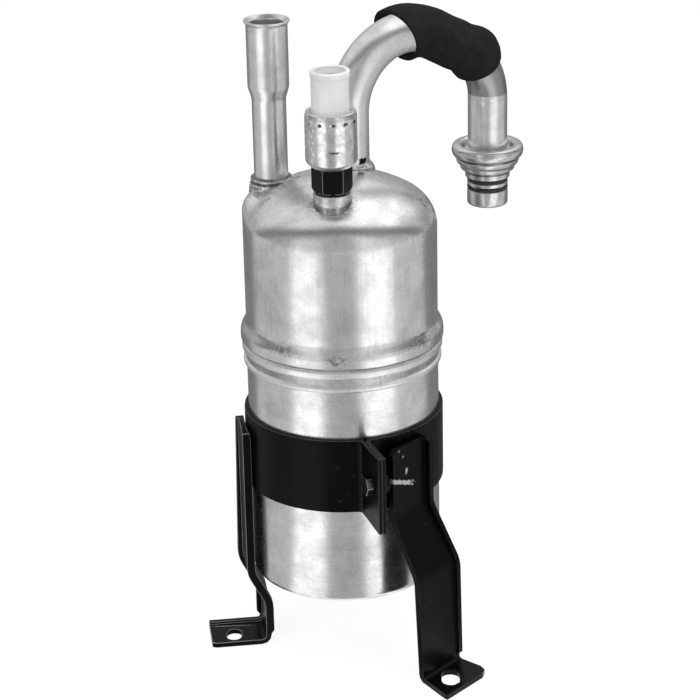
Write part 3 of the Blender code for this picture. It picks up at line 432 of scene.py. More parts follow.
# The can's dimples and its pressed dash darkened: painted shade in these pressings.
CAN_DIMPLE_SHADE = tuple(
    Spot((SWITCH_SPOT[0] + CAN_RADIUS * math.cos(math.radians(turn)),
          SWITCH_SPOT[1] + CAN_RADIUS * math.sin(math.radians(turn)), DIMPLE_HEIGHT),
         (1.0, 1.3, 0.9), 0.06, turn) for turn in range(-175, 185, 30)) + (
    Spot((-1.8, -36.7, DASH_HEIGHT), (2.8, 1.2, 0.5), 0.12, 0.0, 0.0, 0.4, 0.3, True),)
# Spots on the bracket paint: a pale label, then painted highlights.
PAINT_LABEL_AND_HIGHLIGHTS = (
    # Pale label on the right leg.
    Spot((26.4, -45.9, 62.9), (2.0, 8.5, 1.15), 0.42, LEG_TURN, -20.0, 0.3, 0.4, True),
    # Painted highlights in the right leg's spot-weld dimples.
    Spot((25.0, -47.5, 79.1), (2.0, 0.8, 1.0), 0.25, LEG_TURN),
    Spot((26.9, -45.4, 75.6), (2.0, 0.7, 0.9), 0.25, LEG_TURN),
    Spot((28.5, -43.5, 67.7), (2.0, 1.2, 1.9), 0.35, LEG_TURN, -25.0),
    # Painted highlight along the band's fold into the lug.
    Spot((7.6, -46.5, 66.5), (1.5, 0.3, 17.5), 0.20, -81.0, 0.0, 0.4, 0.1, True),
    # Painted highlight along a line on the left foot.
    Spot((-57.5, -4.5, -32.0), (11.5, 0.7, 1.0), 0.16, 2.0, 0.0, 0.5, 0.3, True))


@dataclass
class Wardrobe:
    """The drier's finishes, each made once."""

    shell: BareMetal = BareMetal("shell_aluminium", 0.66, 0.90, 0.22, 0.30, 13.0, Marks.DRAWN, 0.0015,
                                 0.0015, swell=0.02, spots=SHELL_MARKS_AND_SHADE)
    cup: BareMetal = BareMetal("cup_aluminium", 0.66, 0.88, 0.21, 0.30, 11.0, Marks.TURNED, 0.006, 0.0015,
                               swell=0.015)
    tube: BareMetal = BareMetal("tube_aluminium", 0.74, 0.90, 0.27, 0.34, 9.0, Marks.PLAIN, 0.0, 0.001,
                                scuffs=0.3, spots=TUBE_SPOTS)
    weld: BareMetal = BareMetal("weld_aluminium", 0.34, 0.80, 0.24, 0.40, 3.0, Marks.PLAIN, 0.0, 0.012,
                                spots=INLET_WELD_CREASE_SHADE)
    seam: BareMetal = BareMetal("seam_aluminium", 0.80, 0.97, 0.36, 0.46, 9.0, Marks.TURNED, 0.002, 0.002,
                                spots=SEAM_GROOVE_SHADE)
    turned: BareMetal = BareMetal("turned_aluminium", 0.56, 0.84, 0.20, 0.28, 9.0, Marks.TURNED, 0.0015,
                                  0.0006, 0.2, spots=COUPLING_GROOVE_SHADE)
    boss: BareMetal = BareMetal("boss_aluminium", 0.46, 0.84, 0.30, 0.42, 3.0, Marks.PLAIN, 0.0, 0.006,
                                spots=BOSS_FOOT_SHADE)
    pressed: BareMetal = BareMetal("pressed_aluminium", 0.55, 0.92, 0.17, 0.34, 4.0, Marks.PLAIN, 0.0, 0.006,
                                   swell=0.04, spots=CAN_DIMPLE_SHADE)
    steel: BareMetal = BareMetal("plated_steel", 0.30, 0.50, 0.22, 0.38, 5.0, Marks.PLAIN, 0.0, 0.006)
    bolt: BareMetal = BareMetal("dark_steel", 0.05, 0.14, 0.20, 0.34, 3.0, Marks.PLAIN, 0.0, 0.006)
    paint: SatinPaint = SatinPaint("bracket_paint", spots=PAINT_LABEL_AND_HIGHLIGHTS)
    # Lighter, glossier coat for the bracket's rounded edges: painted edge highlight.
    highlight_coat: SatinPaint = SatinPaint("painted_edge_highlight", 0.15, 0.30, 0.8)
    foam: FoamRubber = FoamRubber("sleeve_foam")
    black: Moulding = Moulding("switch_black", 0.0025, 0.32, gloss=0.12)
    # Lighter glossy finish for the hexagon's rounded edges: painted edge highlight.
    crest: Moulding = Moulding("hex_edge_highlight", 0.13, 0.25, gloss=1.0)
    rubber: Moulding = Moulding("ring_rubber", 0.03, 0.50, gloss=0.3)
    white: Moulding = Moulding("shroud_white", 0.69, 0.34, 0.35, 0.006)
    mesh: Moulding = Moulding("filter_white", 0.70, 0.60)
    cloth: BagCloth = BagCloth("bag_cloth")
    made: dict[str, bpy.types.Material] = field(default_factory=dict)

    def get(self, finish: str) -> bpy.types.Material:
        """Give a finish's material, made at first use.

        Args:
            finish: the field's name.

        Returns:
            The material.
        """
        if finish not in self.made:
            self.made[finish] = getattr(self, finish).make()
        return self.made[finish]


# Mesh help


def arc(centre: tuple[float, float], radius: float, start: float, end: float, steps: int) -> Outline:
    """Points on an arc.

    Args:
        centre: the arc's centre.
        radius: its radius.
        start: first angle in degrees.
        end: last angle in degrees.
        steps: number of chords.

    Returns:
        The points, both ends included.
    """
    points = []
    for step in range(steps + 1):
        angle = math.radians(start + (end - start) * step / steps)
        points.append((centre[0] + radius * math.cos(angle), centre[1] + radius * math.sin(angle)))
    return points


def rounded(corners: Sequence[tuple[float, ...]], closed: bool = True, steps: int = 5) -> Outline:
    """Round the corners of an outline.

    Args:
        corners: (x, y) or (x, y, radius) for each corner.
        closed: whether the last corner joins the first.
        steps: chords in each rounded corner.

    Returns:
        The outline's points.
    """
    points: Outline = []
    count = len(corners)
    for index, corner in enumerate(corners):
        here = Vector(corner[:2])
        radius = corner[2] if len(corner) > 2 else 0.0
        if radius <= 0.0 or (not closed and index in (0, count - 1)):
            points.append(tuple(here))
            continue
        back = Vector(corners[index - 1][:2]) - here
        ahead = Vector(corners[(index + 1) % count][:2]) - here
        half = back.angle(ahead) / 2
        reach = min(radius / math.tan(half), 0.49 * back.length, 0.49 * ahead.length)
        radius = reach * math.tan(half)
        centre = here + (back.normalized() + ahead.normalized()).normalized() * radius / math.sin(half)
        start = here + back.normalized() * reach - centre
        turn = math.copysign(180.0 - 2 * math.degrees(half), -back.cross(ahead))
        first = math.degrees(math.atan2(start.y, start.x))
        points.extend(arc(tuple(centre), radius, first, first + turn, steps))
    return points


def round_point(centre: tuple[float, float], radius: float, angle: float, height: float) -> Vector:
    """Point at an angle in radians round an upright axis."""
    return Vector((centre[0] + radius * math.cos(angle), centre[1] + radius * math.sin(angle), height))


def revolved(outline: Outline, axis: tuple[float, float] = (0.0, 0.0), steps: int = 96,
             closed: bool = True, wobble: Wobble | None = None) -> bmesh.types.BMesh:
    """Turn an outline of (radius, height) about an upright axis.

    Args:
        outline: the profile's points.
        axis: where the axis stands.
        steps: number of sides.
        closed: whether the profile is a loop; an open one ends on the axis.
        wobble: moves each point a little, for hand-worked surfaces.

    Returns:
        The closed mesh.
    """
    bm = bmesh.new()
    rows = []
    for radius, height in outline:
        row = []
        for step in range(steps):
            point = round_point(axis, radius, 2 * math.pi * step / steps, height)
            row.append(bm.verts.new(wobble(point) if wobble else point))
        rows.append(row)
    skin(bm, rows, wrap=closed)
    return bm


def skin(bm: bmesh.types.BMesh, rows: list[list[bmesh.types.BMVert]], wrap: bool = False,
         caps: bool = False) -> None:
    """Join rows of points, each a loop, with faces."""
    follow = rows[1:] + rows[:1] if wrap else rows[1:]
    for first, second in zip(rows, follow):
        for index in range(len(first)):
            other = (index + 1) % len(first)
            bm.faces.new((first[index], first[other], second[other], second[index]))
    if caps:
        bm.faces.new(rows[0])
        bm.faces.new(rows[-1])


def lofted(stations: Sequence[Sequence[Sequence[float]]], wrap: bool = False) -> bmesh.types.BMesh:
    """Skin a row of point loops, capped at both ends or joined round."""
    bm = bmesh.new()
    rows = [[bm.verts.new(point) for point in station] for station in stations]
    skin(bm, rows, wrap=wrap, caps=not wrap)
    return bm


def upright(foot: tuple[float, float], azimuth: float, along: float, height: float,
            across: float = 0.0) -> Vector:
    """Point in an upright plane through foot, across lying to its left."""
    return Vector((foot[0] + along * math.cos(azimuth) - across * math.sin(azimuth),
                   foot[1] + along * math.sin(azimuth) + across * math.cos(azimuth), height))


def piped(path: Sequence[tuple[float, float, float]], radii: Sequence[float], bores: Sequence[float],
          foot: tuple[float, float], azimuth: float, sides: int,
          wobble: Wobble | None = None, slants: Sequence[float] = ()) -> bmesh.types.BMesh:
    """Hollow tube along stations of (along, height, heading) in one plane.

    Args:
        path: the stations.
        radii: outer radius at each station.
        bores: inner radius at each station.
        foot: where the plane starts.
        azimuth: the plane's direction in radians.
        sides: number of sides.
        wobble: moves each outer point a little.
        slants: how far each station's right side is moved ahead.

    Returns:
        The closed mesh.
    """
    outer, inner = [], []
    slants = list(slants) + [0.0] * (len(path) - len(slants))
    for (along, height, heading), radius, bore, slant in zip(path, radii, bores, slants):
        for loops, size, move in ((outer, radius, wobble), (inner, bore, None)):
            loop = []
            for side in range(sides):
                angle = 2 * math.pi * side / sides
                lift = size * math.cos(angle)
                ahead = slant * (0.5 - 0.5 * math.sin(angle))
                point = upright(foot, azimuth, along - lift * math.sin(heading) + ahead,
                                height + lift * math.cos(heading) + ahead * min(math.sin(heading), 0.0),
                                size * math.sin(angle))
                loop.append(move(point) if move else point)
            loops.append(loop)
    return lofted(outer + inner[::-1], wrap=True)


def bend(centre: tuple[float, float], radius: float, start: float, end: float,
         steps: int) -> list[tuple[float, float, float]]:
    """Stations with headings on a bend, angles in degrees."""
    side = math.copysign(90.0, end - start)
    stations = []
    for step in range(steps + 1):
        angle = start + (end - start) * step / steps
        turn = math.radians(angle)
        stations.append((centre[0] + radius * math.cos(turn), centre[1] + radius * math.sin(turn),
                         math.radians(angle + side)))
    return stations


def straight(first: tuple[float, float, float], last: tuple[float, float, float],
             steps: int) -> list[tuple[float, float, float]]:
    """Stations strictly between two stations of one heading."""
    made = []
    for step in range(1, steps):
        part = step / steps
        made.append(tuple(a + (b - a) * part for a, b in zip(first[:2], last[:2])) + (first[2],))
    return made


def uneven(depth: float, size: float, seed: float = 0.0,
           centre: tuple[float, float] | None = None) -> Wobble:
    """Make a wobble that pushes points in and out by smooth noise.

    Args:
        depth: largest push.
        size: width of the swells.
        seed: shifts the pattern.
        centre: axis that the push points away from; None pushes freely.

    Returns:
        The function that moves one point.
    """
    def move(point: Vector) -> Vector:
        """Move one point."""
        if centre is None:
            return point + noise.noise_vector(point / size + Vector((seed, seed, seed))) * depth
        away = Vector((point.x - centre[0], point.y - centre[1], 0.0))
        if away.length < 1.0e-6:
            return point
        return point + away.normalized() * noise.noise(point / size + Vector((seed, seed, seed))) * depth
    return move


@dataclass
class Group:
    """What every sub-assembly shares: the wardrobe and the way to set a piece."""

    wardrobe: Wardrobe

    def piece(self, name: str, bm: bmesh.types.BMesh, finish: str, slot: str,
              replaces: Sequence[str] = (), crease: float = 32.0, edge: float = 0.0,
              rim: str = "", scale: float = MM) -> bpy.types.Object:
        """Make a mesh into a piece of the drier.

        Args:
            name: the piece's name.
            bm: its mesh, which is used up.
            finish: field name in the wardrobe.
            slot: not used.
            replaces: CAD nodes that the piece stands for.
            crease: angle in degrees from which an edge stays sharp.
            edge: width in millimetres of a small rounding on sharp edges.
            rim: finish of that rounding, where it isn't the piece's own; the lighter finishes given here
                paint a highlight on the edges.
            scale: the mesh's unit in metres.

        Returns:
            The new object.
        """
        bmesh.ops.scale(bm, vec=(scale, scale, scale), verts=bm.verts)
        bmesh.ops.remove_doubles(bm, verts=bm.verts, dist=1.0e-6)
        bmesh.ops.recalc_face_normals(bm, faces=bm.faces)
        mesh = bpy.data.meshes.new(name)
        bm.to_mesh(mesh)
        bm.free()
        mesh.shade_smooth()
        mesh.set_sharp_from_angle(angle=math.radians(crease))
        made = bpy.data.objects.new(name, mesh)
        bpy.context.scene.collection.objects.link(made)
        mesh.materials.append(self.wardrobe.get(finish))
        if rim:
            mesh.materials.append(self.wardrobe.get(rim))
        if edge:
            self.soften(made, edge, 1 if rim else -1)
        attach(made, "root")
        if replaces:
            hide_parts(*replaces)
        LOG.info("piece %s, %d faces", name, len(mesh.polygons))
        return made

    def soften(self, thing: bpy.types.Object, width: float, finish: int) -> None:
        """Round a piece's sharp edges a little, in one of its finishes; a lighter one paints a highlight on
        them.
        """
        rounding = thing.modifiers.new("Edges", "BEVEL")
        rounding.width = width * MM
        rounding.segments = 2
        rounding.limit_method = "ANGLE"
        rounding.angle_limit = SHARP_EDGE
        rounding.harden_normals = True
        rounding.material = finish

    def dress(self, node: str, finish: str) -> None:
        """Give a CAD node one of the wardrobe's finishes."""
        mesh = bpy.data.objects[node].data
        mesh.materials.clear()
        mesh.materials.append(self.wardrobe.get(finish))


@dataclass
class Canister(Group):
    """Two drawn shells and the weld bead between them."""

    radius: float = 45.15
    wall: float = 2.5
    upper_radius: float = 45.0
    skirt_radius: float = 47.7
    knuckle: float = 18.0
    crown: float = 70.0
    top: float = 198.5
    bead_radius: float = 47.1
    pad_azimuth: float = math.radians(162.0)
    pad_span: float = math.radians(36.0)
    pad_drop: float = 10.5
    pad_edge: float = 6.0
    pad_blend: float = 0.6
    seat: tuple[float, float] = INLET_SPOT
    seat_radius: float = 10.7
    seat_height: float = 190.4
    seat_blend: float = 2.6
    side_top: float = 172.0

    def knuckle_centre(self) -> tuple[float, float]:
        """Centre of the rounding between dome and side."""
        reach = self.upper_radius - self.knuckle
        return reach, self.top - self.crown + math.sqrt((self.crown - self.knuckle) ** 2 - reach ** 2)

    def plain_height(self, out: float) -> float:
        """Height of the unpressed dome at a distance from the axis."""
        reach, height = self.knuckle_centre()
        out = min(out, self.upper_radius)
        if out < reach * self.crown / (self.crown - self.knuckle):
            return self.top - self.crown + math.sqrt(self.crown ** 2 - out ** 2)
        return height + math.sqrt(max(self.knuckle ** 2 - (out - reach) ** 2, 0.0))

    def lift(self, x: float, y: float) -> float:
        """How far the pad and the seat at the inlet move the dome over a point.

        Args:
            x: the point's place.
            y: the same.

        Returns:
            The move upwards, or downwards where it is negative.
        """
        out = min(math.hypot(x, y), self.upper_radius)
        plain = self.plain_height(out)
        turn = abs(math.atan2(y, x) - self.pad_azimuth)
        turn = min(turn, 2 * math.pi - turn)
        share = min(max((self.pad_span - turn) / (self.pad_span * self.pad_blend), 0.0), 1.0)
        share *= share * (3.0 - 2.0 * share)
        flat = self.upper_radius - self.pad_edge
        lift = 0.0
        if out > flat - self.pad_edge:
            beyond = max(out - flat, 0.0)
            level = self.top - self.pad_drop - self.pad_edge + math.sqrt(self.pad_edge ** 2 - beyond ** 2)
            lift = max(level - plain, 0.0) * share
        gap = math.hypot(x - self.seat[0], y - self.seat[1]) - self.seat_radius
        sunk = 1.0 - min(max(gap / self.seat_blend, 0.0), 1.0)
        sunk *= sunk * (3.0 - 2.0 * sunk)
        return lift - max(plain + lift - self.seat_height, 0.0) * sunk

    def dome_height(self, x: float, y: float) -> float:
        """Height of the dome's outside over a point."""
        return self.plain_height(math.hypot(x, y)) + self.lift(x, y)

    def dome(self, offset: float, steps: int) -> Outline:
        """Dome profile from the axis to the side."""
        reach, height = self.knuckle_centre()
        centre = self.top - self.crown
        tangent = math.degrees(math.atan2(height - centre, reach))
        crown = arc((0.0, centre), self.crown + offset, 90.0, tangent, steps)
        crown[0] = (0.0, crown[0][1])
        return crown + arc((reach, height), self.knuckle + offset, tangent, 0.0, steps)[1:]

    def build(self) -> None:
        """Build and dress the shells and the bead."""
        self.build_upper()
        self.build_lower()
        self.build_bead()

    def build_upper(self) -> None:
        """Upper shell: dome, straight side and the wider skirt."""
        side = self.upper_radius
        skirt = self.skirt_radius
        bore = self.radius + 0.3
        lower = rounded([(side, self.side_top), (side, 129.4, 8.0), (skirt - 0.1, 124.6, 7.0),
                         (skirt, 119.7, 1.3), (bore, 119.7), (bore, 125.6),
                         (side - self.wall, 129.6)], closed=False, steps=8)
        extra = [(side, self.side_top - 3.6 * step) for step in range(10)]
        outline = self.dome(0.0, 56) + extra + lower[1:]
        outline += [(side - self.wall, self.side_top)] + self.dome(-self.wall, 8)[::-1]
        mesh = revolved(outline, steps=320, closed=False, wobble=self.pressed)
        self.piece("upper_shell_skin", mesh, "shell", "shell_aluminium", ["upper_shell"], crease=50.0)

    def pressed(self, point: Vector) -> Vector:
        """Press the pad and the seat into a point of the dome, and add the drawing's swells."""
        knee = self.knuckle_centre()[1]
        fade = min(max((point.z - knee) / 12.0 + 1.0, 0.0), 1.0)
        moved = uneven(0.10, 24.0, 3.0, (0.0, 0.0))(point)
        moved.z += self.lift(point.x, point.y) * fade
        return moved

    def build_lower(self) -> None:
        """Lower shell: cup with a rounded bottom edge."""
        side = self.radius
        outline = [(0.0, 0.0), (20.0, 0.0), (38.0, 0.0)]
        outline += arc((side - 4.5, 4.5), 4.5, -90.0, 0.0, 10)
        outline += [(side, 4.5 + 5.0 * step) for step in range(1, 24)]
        outline += [(side, 125.0), (side - self.wall, 125.0), (side - self.wall, 6.0),
                    (side - self.wall - 3.0, 2.5), (0.0, 2.5)]
        mesh = revolved(outline, steps=192, closed=False, wobble=uneven(0.07, 30.0, 9.0, (0.0, 0.0)))
        self.piece("lower_shell_skin", mesh, "cup", "shell_aluminium", ["lower_shell"], crease=50.0)

    def build_bead(self) -> None:
        """Weld bead with two rounded ridges."""
        bore = self.radius + 0.05
        top = self.bead_radius
        outline = rounded([(bore, 108.0), (top - 1.3, 108.0, 0.5),
                           (top - 0.5, 108.8, 0.7), (top - 0.5, 110.2, 0.7),
                           (top - 1.7, 111.0, 0.5), (top - 1.7, 114.4, 0.5),
                           (top, 115.3, 0.9), (top, 118.2, 1.6),
                           (top - 1.6, 119.4, 0.4), (bore, 119.4)], steps=6)
        mesh = revolved(outline, steps=256, wobble=uneven(0.06, 9.0, 5.0, (0.0, 0.0)))
        self.piece("weld_bead_skin", mesh, "seam", "shell_aluminium", ["weld_bead"], crease=60.0)


@dataclass
class DomeFitting(Group):
    """Something that stands on the dome: it follows the dome at its foot."""

    canister: Canister
    spot: tuple[float, float] = (0.0, 0.0)

    def saddle(self, rows: Sequence[tuple[float, float, float]], level: float, steps: int = 96,
               wobble: Wobble | None = None) -> bmesh.types.BMesh:
        """Ring whose foot follows the dome and whose top is level.

        Args:
            rows: (radius, share, lift) for each point of the closed section; share 0
                lies on the dome and 1 at the level height, and lift is added.
            level: height of the level top.
            steps: number of sides.
            wobble: moves each point a little.

        Returns:
            The closed mesh.
        """
        stations = []
        for radius, share, lift in rows:
            loop = []
            for step in range(steps):
                angle = 2 * math.pi * step / steps
                point = round_point(self.spot, radius, angle, 0.0)
                point.z = self.canister.dome_height(point.x, point.y) * (1 - share) + level * share + lift
                loop.append(wobble(point) if wobble else point)
            stations.append(loop)
        return lofted(stations, wrap=True)


@dataclass
class Inlet(DomeFitting):
    """Straight inlet tube with its widened socket, and the weld at its foot."""

    spot: tuple[float, float] = INLET_SPOT
    radius: float = 7.95
    wall: float = 1.3
    socket: float = 9.6
    taper: float = 230.9
    top: float = 267.9

    def build(self) -> None:
        """Build and dress the tube and its weld."""
        bore = self.radius - self.wall
        wide = self.socket - self.wall
        lip = self.top
        outline = rounded([(bore, 178.0), (self.radius, 178.0), (self.radius, self.taper, 6.0),
                           (self.socket, self.taper + 5.6, 6.0), (self.socket, lip - 2.0, 1.6),
                           (self.socket + 1.0, lip - 0.9, 0.3),
                           (self.socket + 1.0, lip - 0.1, 0.35),
                           (self.socket + 0.1, lip - 0.1, 0.4),
                           (wide, lip - 2.0, 1.2), (wide, self.taper + 6.2, 4.0),
                           (bore, self.taper + 0.6, 4.0)], steps=6)
        mesh = revolved(outline, self.spot, 96, wobble=uneven(0.05, 12.0, 1.0, self.spot))
        self.piece("inlet_tube_skin", mesh, "tube", "tube_aluminium", ["inlet_tube"], crease=50.0)
        hole = self.radius + 0.1
        rows = [(hole, 0.0, 0.1), (10.7, 0.0, 0.05), (10.5, 0.35, 0.2),
                (10.1, 1.0, -2.9), (9.6, 1.0, -2.2), (9.2, 1.0, -1.9),
                (9.2, 1.0, -1.6), (9.6, 1.0, -1.5), (9.8, 1.0, -1.0),
                (9.7, 1.0, -0.4), (9.3, 1.0, 0.0), (8.7, 1.0, 0.1), (hole, 1.0, -0.4)]
        mesh = self.saddle(rows, 193.4, 128, uneven(0.14, 2.8, 2.0))
        self.piece("inlet_weld_skin", mesh, "weld", "shell_aluminium", ["inlet_weld_collar"], crease=70.0)


@dataclass
class Outlet(DomeFitting):
    """Looped outlet tube, its weld, and the foam sleeve over the loop."""

    spot: tuple[float, float] = (4.93, 17.0)
    azimuth: float = math.radians(35.02)
    radius: float = 9.525
    wall: float = 1.5
    reach: float = 81.9
    corner: float = 277.95
    slope: float = 28.95
    first_bend: float = 33.34
    second_bend: float = 30.56
    foot: float = 184.0
    end: float = 176.4
    step: float = 216.9
    sleeve_radius: float = 12.2
    sleeve_end_radius: float = 13.5
    cut_rows: int = 13
    cut_slant: float = 4.4
    cut_tilt: float = math.radians(6.0)
    mouth_rows: int = 6
    mouth_gap: float = 1.6

    def centres(self) -> tuple[tuple[float, float], tuple[float, float]]:
        """Centres of the two bends."""
        half = math.radians((90.0 - self.slope) / 2)
        first = self.corner - self.first_bend / math.tan(half)
        second = self.corner - self.reach * math.tan(math.radians(self.slope))
        second -= self.second_bend * math.tan(half)
        return (self.first_bend, first), (self.reach - self.second_bend, second)

    def path(self) -> list[tuple[float, float, float]]:
        """Stations of the tube."""
        first, second = self.centres()
        shoulder = 90.0 - self.slope
        start = (0.0, self.foot, math.radians(90.0))
        finish = (self.reach, self.end, math.radians(-90.0))
        up = bend(first, self.first_bend, 180.0, shoulder, 40)
        down = bend(second, self.second_bend, shoulder, 0.0, 22)
        path = [start] + straight(start, up[0], 8) + up
        path += straight(up[-1], down[0], 6) + down
        above = (self.reach, self.step + 0.15, finish[2])
        below = (self.reach, self.step - 0.15, finish[2])
        return path + straight(down[-1], above, 4) + [above, below] + straight(below, finish, 8) + [finish]

    def sleeve_path(self) -> list[tuple[float, float, float]]:
        """Stations of the sleeve."""
        first, second = self.centres()
        shoulder = 90.0 - self.slope
        start = bend(first, self.first_bend, 103.0, shoulder, 14)
        finish = bend(second, self.second_bend, shoulder, 30.0, 12)
        return start + straight(start[-1], finish[0], 10) + finish

    def build(self) -> None:
        """Build and dress the tube, its weld and its sleeve."""
        path = self.path()
        count = len(path)
        radii = [self.radius - (0.1 if height > self.step and along > self.reach - self.second_bend else 0.0)
                 for along, height, heading in path]
        mesh = piped(path, radii, [self.radius - self.wall] * count, self.spot,
                     self.azimuth, 80, uneven(0.05, 14.0, 7.0))
        self.piece("outlet_tube_skin", mesh, "tube", "tube_aluminium", ["outlet_tube"], crease=50.0)
        hole = self.radius + 0.1
        rows = [(hole, 0.0, 0.2), (12.0, 0.0, 0.1), (11.9, 0.35, 0.4),
                (11.2, 0.7, 0.3), (10.4, 0.95, 0.0), (10.0, 1.0, 0.4), (hole, 1.0, 0.6)]
        mesh = self.saddle(rows, 198.4, 96, uneven(0.25, 3.0, 4.0))
        self.piece("outlet_weld_skin", mesh, "weld", "shell_aluminium", ["outlet_weld_collar"], crease=70.0)
        self.build_sleeve()

    def build_sleeve(self) -> None:
        """Foam sleeve, lumpy, with a thick cut end round the tube."""
        path = self.sleeve_path()
        radii = []
        for index in range(len(path)):
            part = index / (len(path) - 1)
            swell = 0.25 * math.sin(9.0 * part + 1.0) + 0.15 * math.sin(23.0 * part)
            swell -= 0.5 * math.exp(-((part - 0.68) / 0.07) ** 2)
            wide = self.sleeve_end_radius - 0.4
            radii.append(wide + (self.sleeve_radius - wide) * min(part / 0.30, 1.0) + swell)
        for index in range(self.mouth_rows):
            along, height, heading = path[index]
            path[index] = (along, height, heading + self.cut_tilt * (1.0 - index / self.mouth_rows))
        for index, change in ((0, 0.1), (-1, -1.9), (-2, -0.9), (-3, -0.4)):
            radii[index] += change
        bore = self.radius + 0.25
        bores = [bore + self.mouth_gap * max(0.0, 1.0 - index / (self.mouth_rows - 1)) ** 0.8
                 for index in range(len(path))]
        slants = [self.cut_slant * (1.0 - index / self.cut_rows) ** 1.5 for index in range(self.cut_rows)]
        mesh = piped(path, radii, bores, self.spot, self.azimuth, 72, self.sagged, slants)
        sleeve = self.piece("insulation_sleeve_skin", mesh, "foam", "black_foam", ["insulation_sleeve"],
                            crease=75.0)
        sleeve.visible_glossy = False

    def sagged(self, point: Vector) -> Vector:
        """Lift a point of the foam's outside, swell its far shoulder and dent it.

        Args:
            point: a point of the sleeve.

        Returns:
            The moved point.
        """
        centre = self.centres()[1]
        turn = math.radians(46.0)
        out = self.second_bend + self.sleeve_radius
        crest = upright(self.spot, self.azimuth, centre[0] + out * math.cos(turn),
                        centre[1] + out * math.sin(turn))
        push = upright((0.0, 0.0), self.azimuth, math.cos(turn), math.sin(turn))
        moved = uneven(0.4, 9.0, 6.0)(point)
        moved += push * 1.9 * math.exp(-((point - crest).length / 9.0) ** 2)
        return moved + Vector((0.0, 0.0, 0.1))


@dataclass
class Coupling(Group):
    """Quick-lock coupling at the end of the outlet."""

    spot: tuple[float, float] = (72.002, 63.999)
    top: float = 191.6
    bottom: float = 179.2
    radius: float = 17.45
    tip: float = 9.9
    tip_end: float = 161.2
    rings: tuple[float, float] = (174.1, 170.1)

    def build(self) -> None:
        """Build and dress the cage, tip, rings and spring."""
        self.build_cage()
        self.build_tip()
        for number, height in enumerate(self.rings, start=1):
            ring = arc((self.tip - 0.55, height), 0.6, 0.0, 360.0, 16)[:-1]
            self.piece(f"o_ring_{number}_skin", revolved(ring, self.spot, 72), "rubber", "black_rubber",
                       [f"coupling_o_ring_{number}"])
        self.build_spring()

    def build_cage(self) -> None:
        """Ringed cage."""
        top = self.top
        out = self.radius
        outline = rounded([(9.83, top - 5.4), (9.83, top - 3.6, 0.3),
                           (11.6, top - 3.6, 0.8), (12.6, top - 0.6, 0.9),
                           (14.0, top, 1.2), (out - 0.6, top, 1.8),
                           (out, top - 3.2, 1.9), (out - 0.6, top - 5.4, 1.2),
                           (15.2, top - 5.9, 0.3), (14.9, top - 6.1, 0.2),
                           (14.9, top - 6.7, 0.2), (15.6, top - 7.1, 0.6),
                           (14.9, top - 9.0, 1.0), (13.5, top - 10.4, 1.0),
                           (13.0, self.bottom, 0.6), (11.5, self.bottom, 0.3),
                           (11.5, self.bottom + 0.9, 0.3), (12.6, self.bottom + 1.4),
                           (13.6, self.bottom + 4.0), (13.8, top - 6.4),
                           (13.4, top - 5.4)], steps=7)
        self.piece("coupling_cage_skin", revolved(outline, self.spot, 96), "turned", "machined_aluminium",
                   ["coupling_cage"], crease=40.0)

    def build_tip(self) -> None:
        """Turned tip with two grooves."""
        tip = self.tip
        floor = tip - 2.1
        low = self.tip_end
        bore = tip - 3.3
        shoulder = tip + 0.9
        upper, lower = self.rings
        half = 1.15
        seat = upper + half
        outline = rounded([(bore, upper + 0.9), (bore, low + 0.8), (bore + 0.7, low, 0.3),
                           (tip, low, 1.6), (tip, lower - half, 0.25), (floor, lower - half),
                           (floor, lower + half), (tip, lower + half, 0.25), (tip, upper - half, 0.25),
                           (floor, upper - half), (floor, seat), (shoulder, seat, 0.3),
                           (shoulder, self.top - 5.8), (9.825, self.top - 5.8),
                           (9.825, 176.1), (bore, 176.1)], steps=4)
        self.piece("coupling_tip_skin", revolved(outline, self.spot, 96), "turned", "machined_aluminium",
                   ["coupling_tip"], crease=40.0)

    def build_spring(self) -> None:
        """Garter spring, a fine coil bent into a ring."""
        turns = 60
        wire = 0.28
        coil = 0.85
        up = Vector((0, 0, 1))
        stations = []
        count = turns * 10
        for step in range(count):
            lead = 2 * math.pi * step / count
            twist = lead * turns
            out = Vector((math.cos(lead), math.sin(lead), 0.0))
            centre = Vector((*self.spot, 183.3)) + out * (12.0 + coil * math.cos(twist))
            centre.z += coil * math.sin(twist)
            along = (out.cross(up) * -0.3 + (up * math.cos(twist) - out * math.sin(twist))).normalized()
            side = along.orthogonal().normalized()
            other = along.cross(side)
            stations.append([centre + (side * math.cos(a) + other * math.sin(a)) * wire
                             for a in (0.0, 1.571, 3.142, 4.712)])
        del stations[-1]
        self.piece("garter_spring_skin", lofted(stations), "steel", "spring_steel", ["garter_spring"])


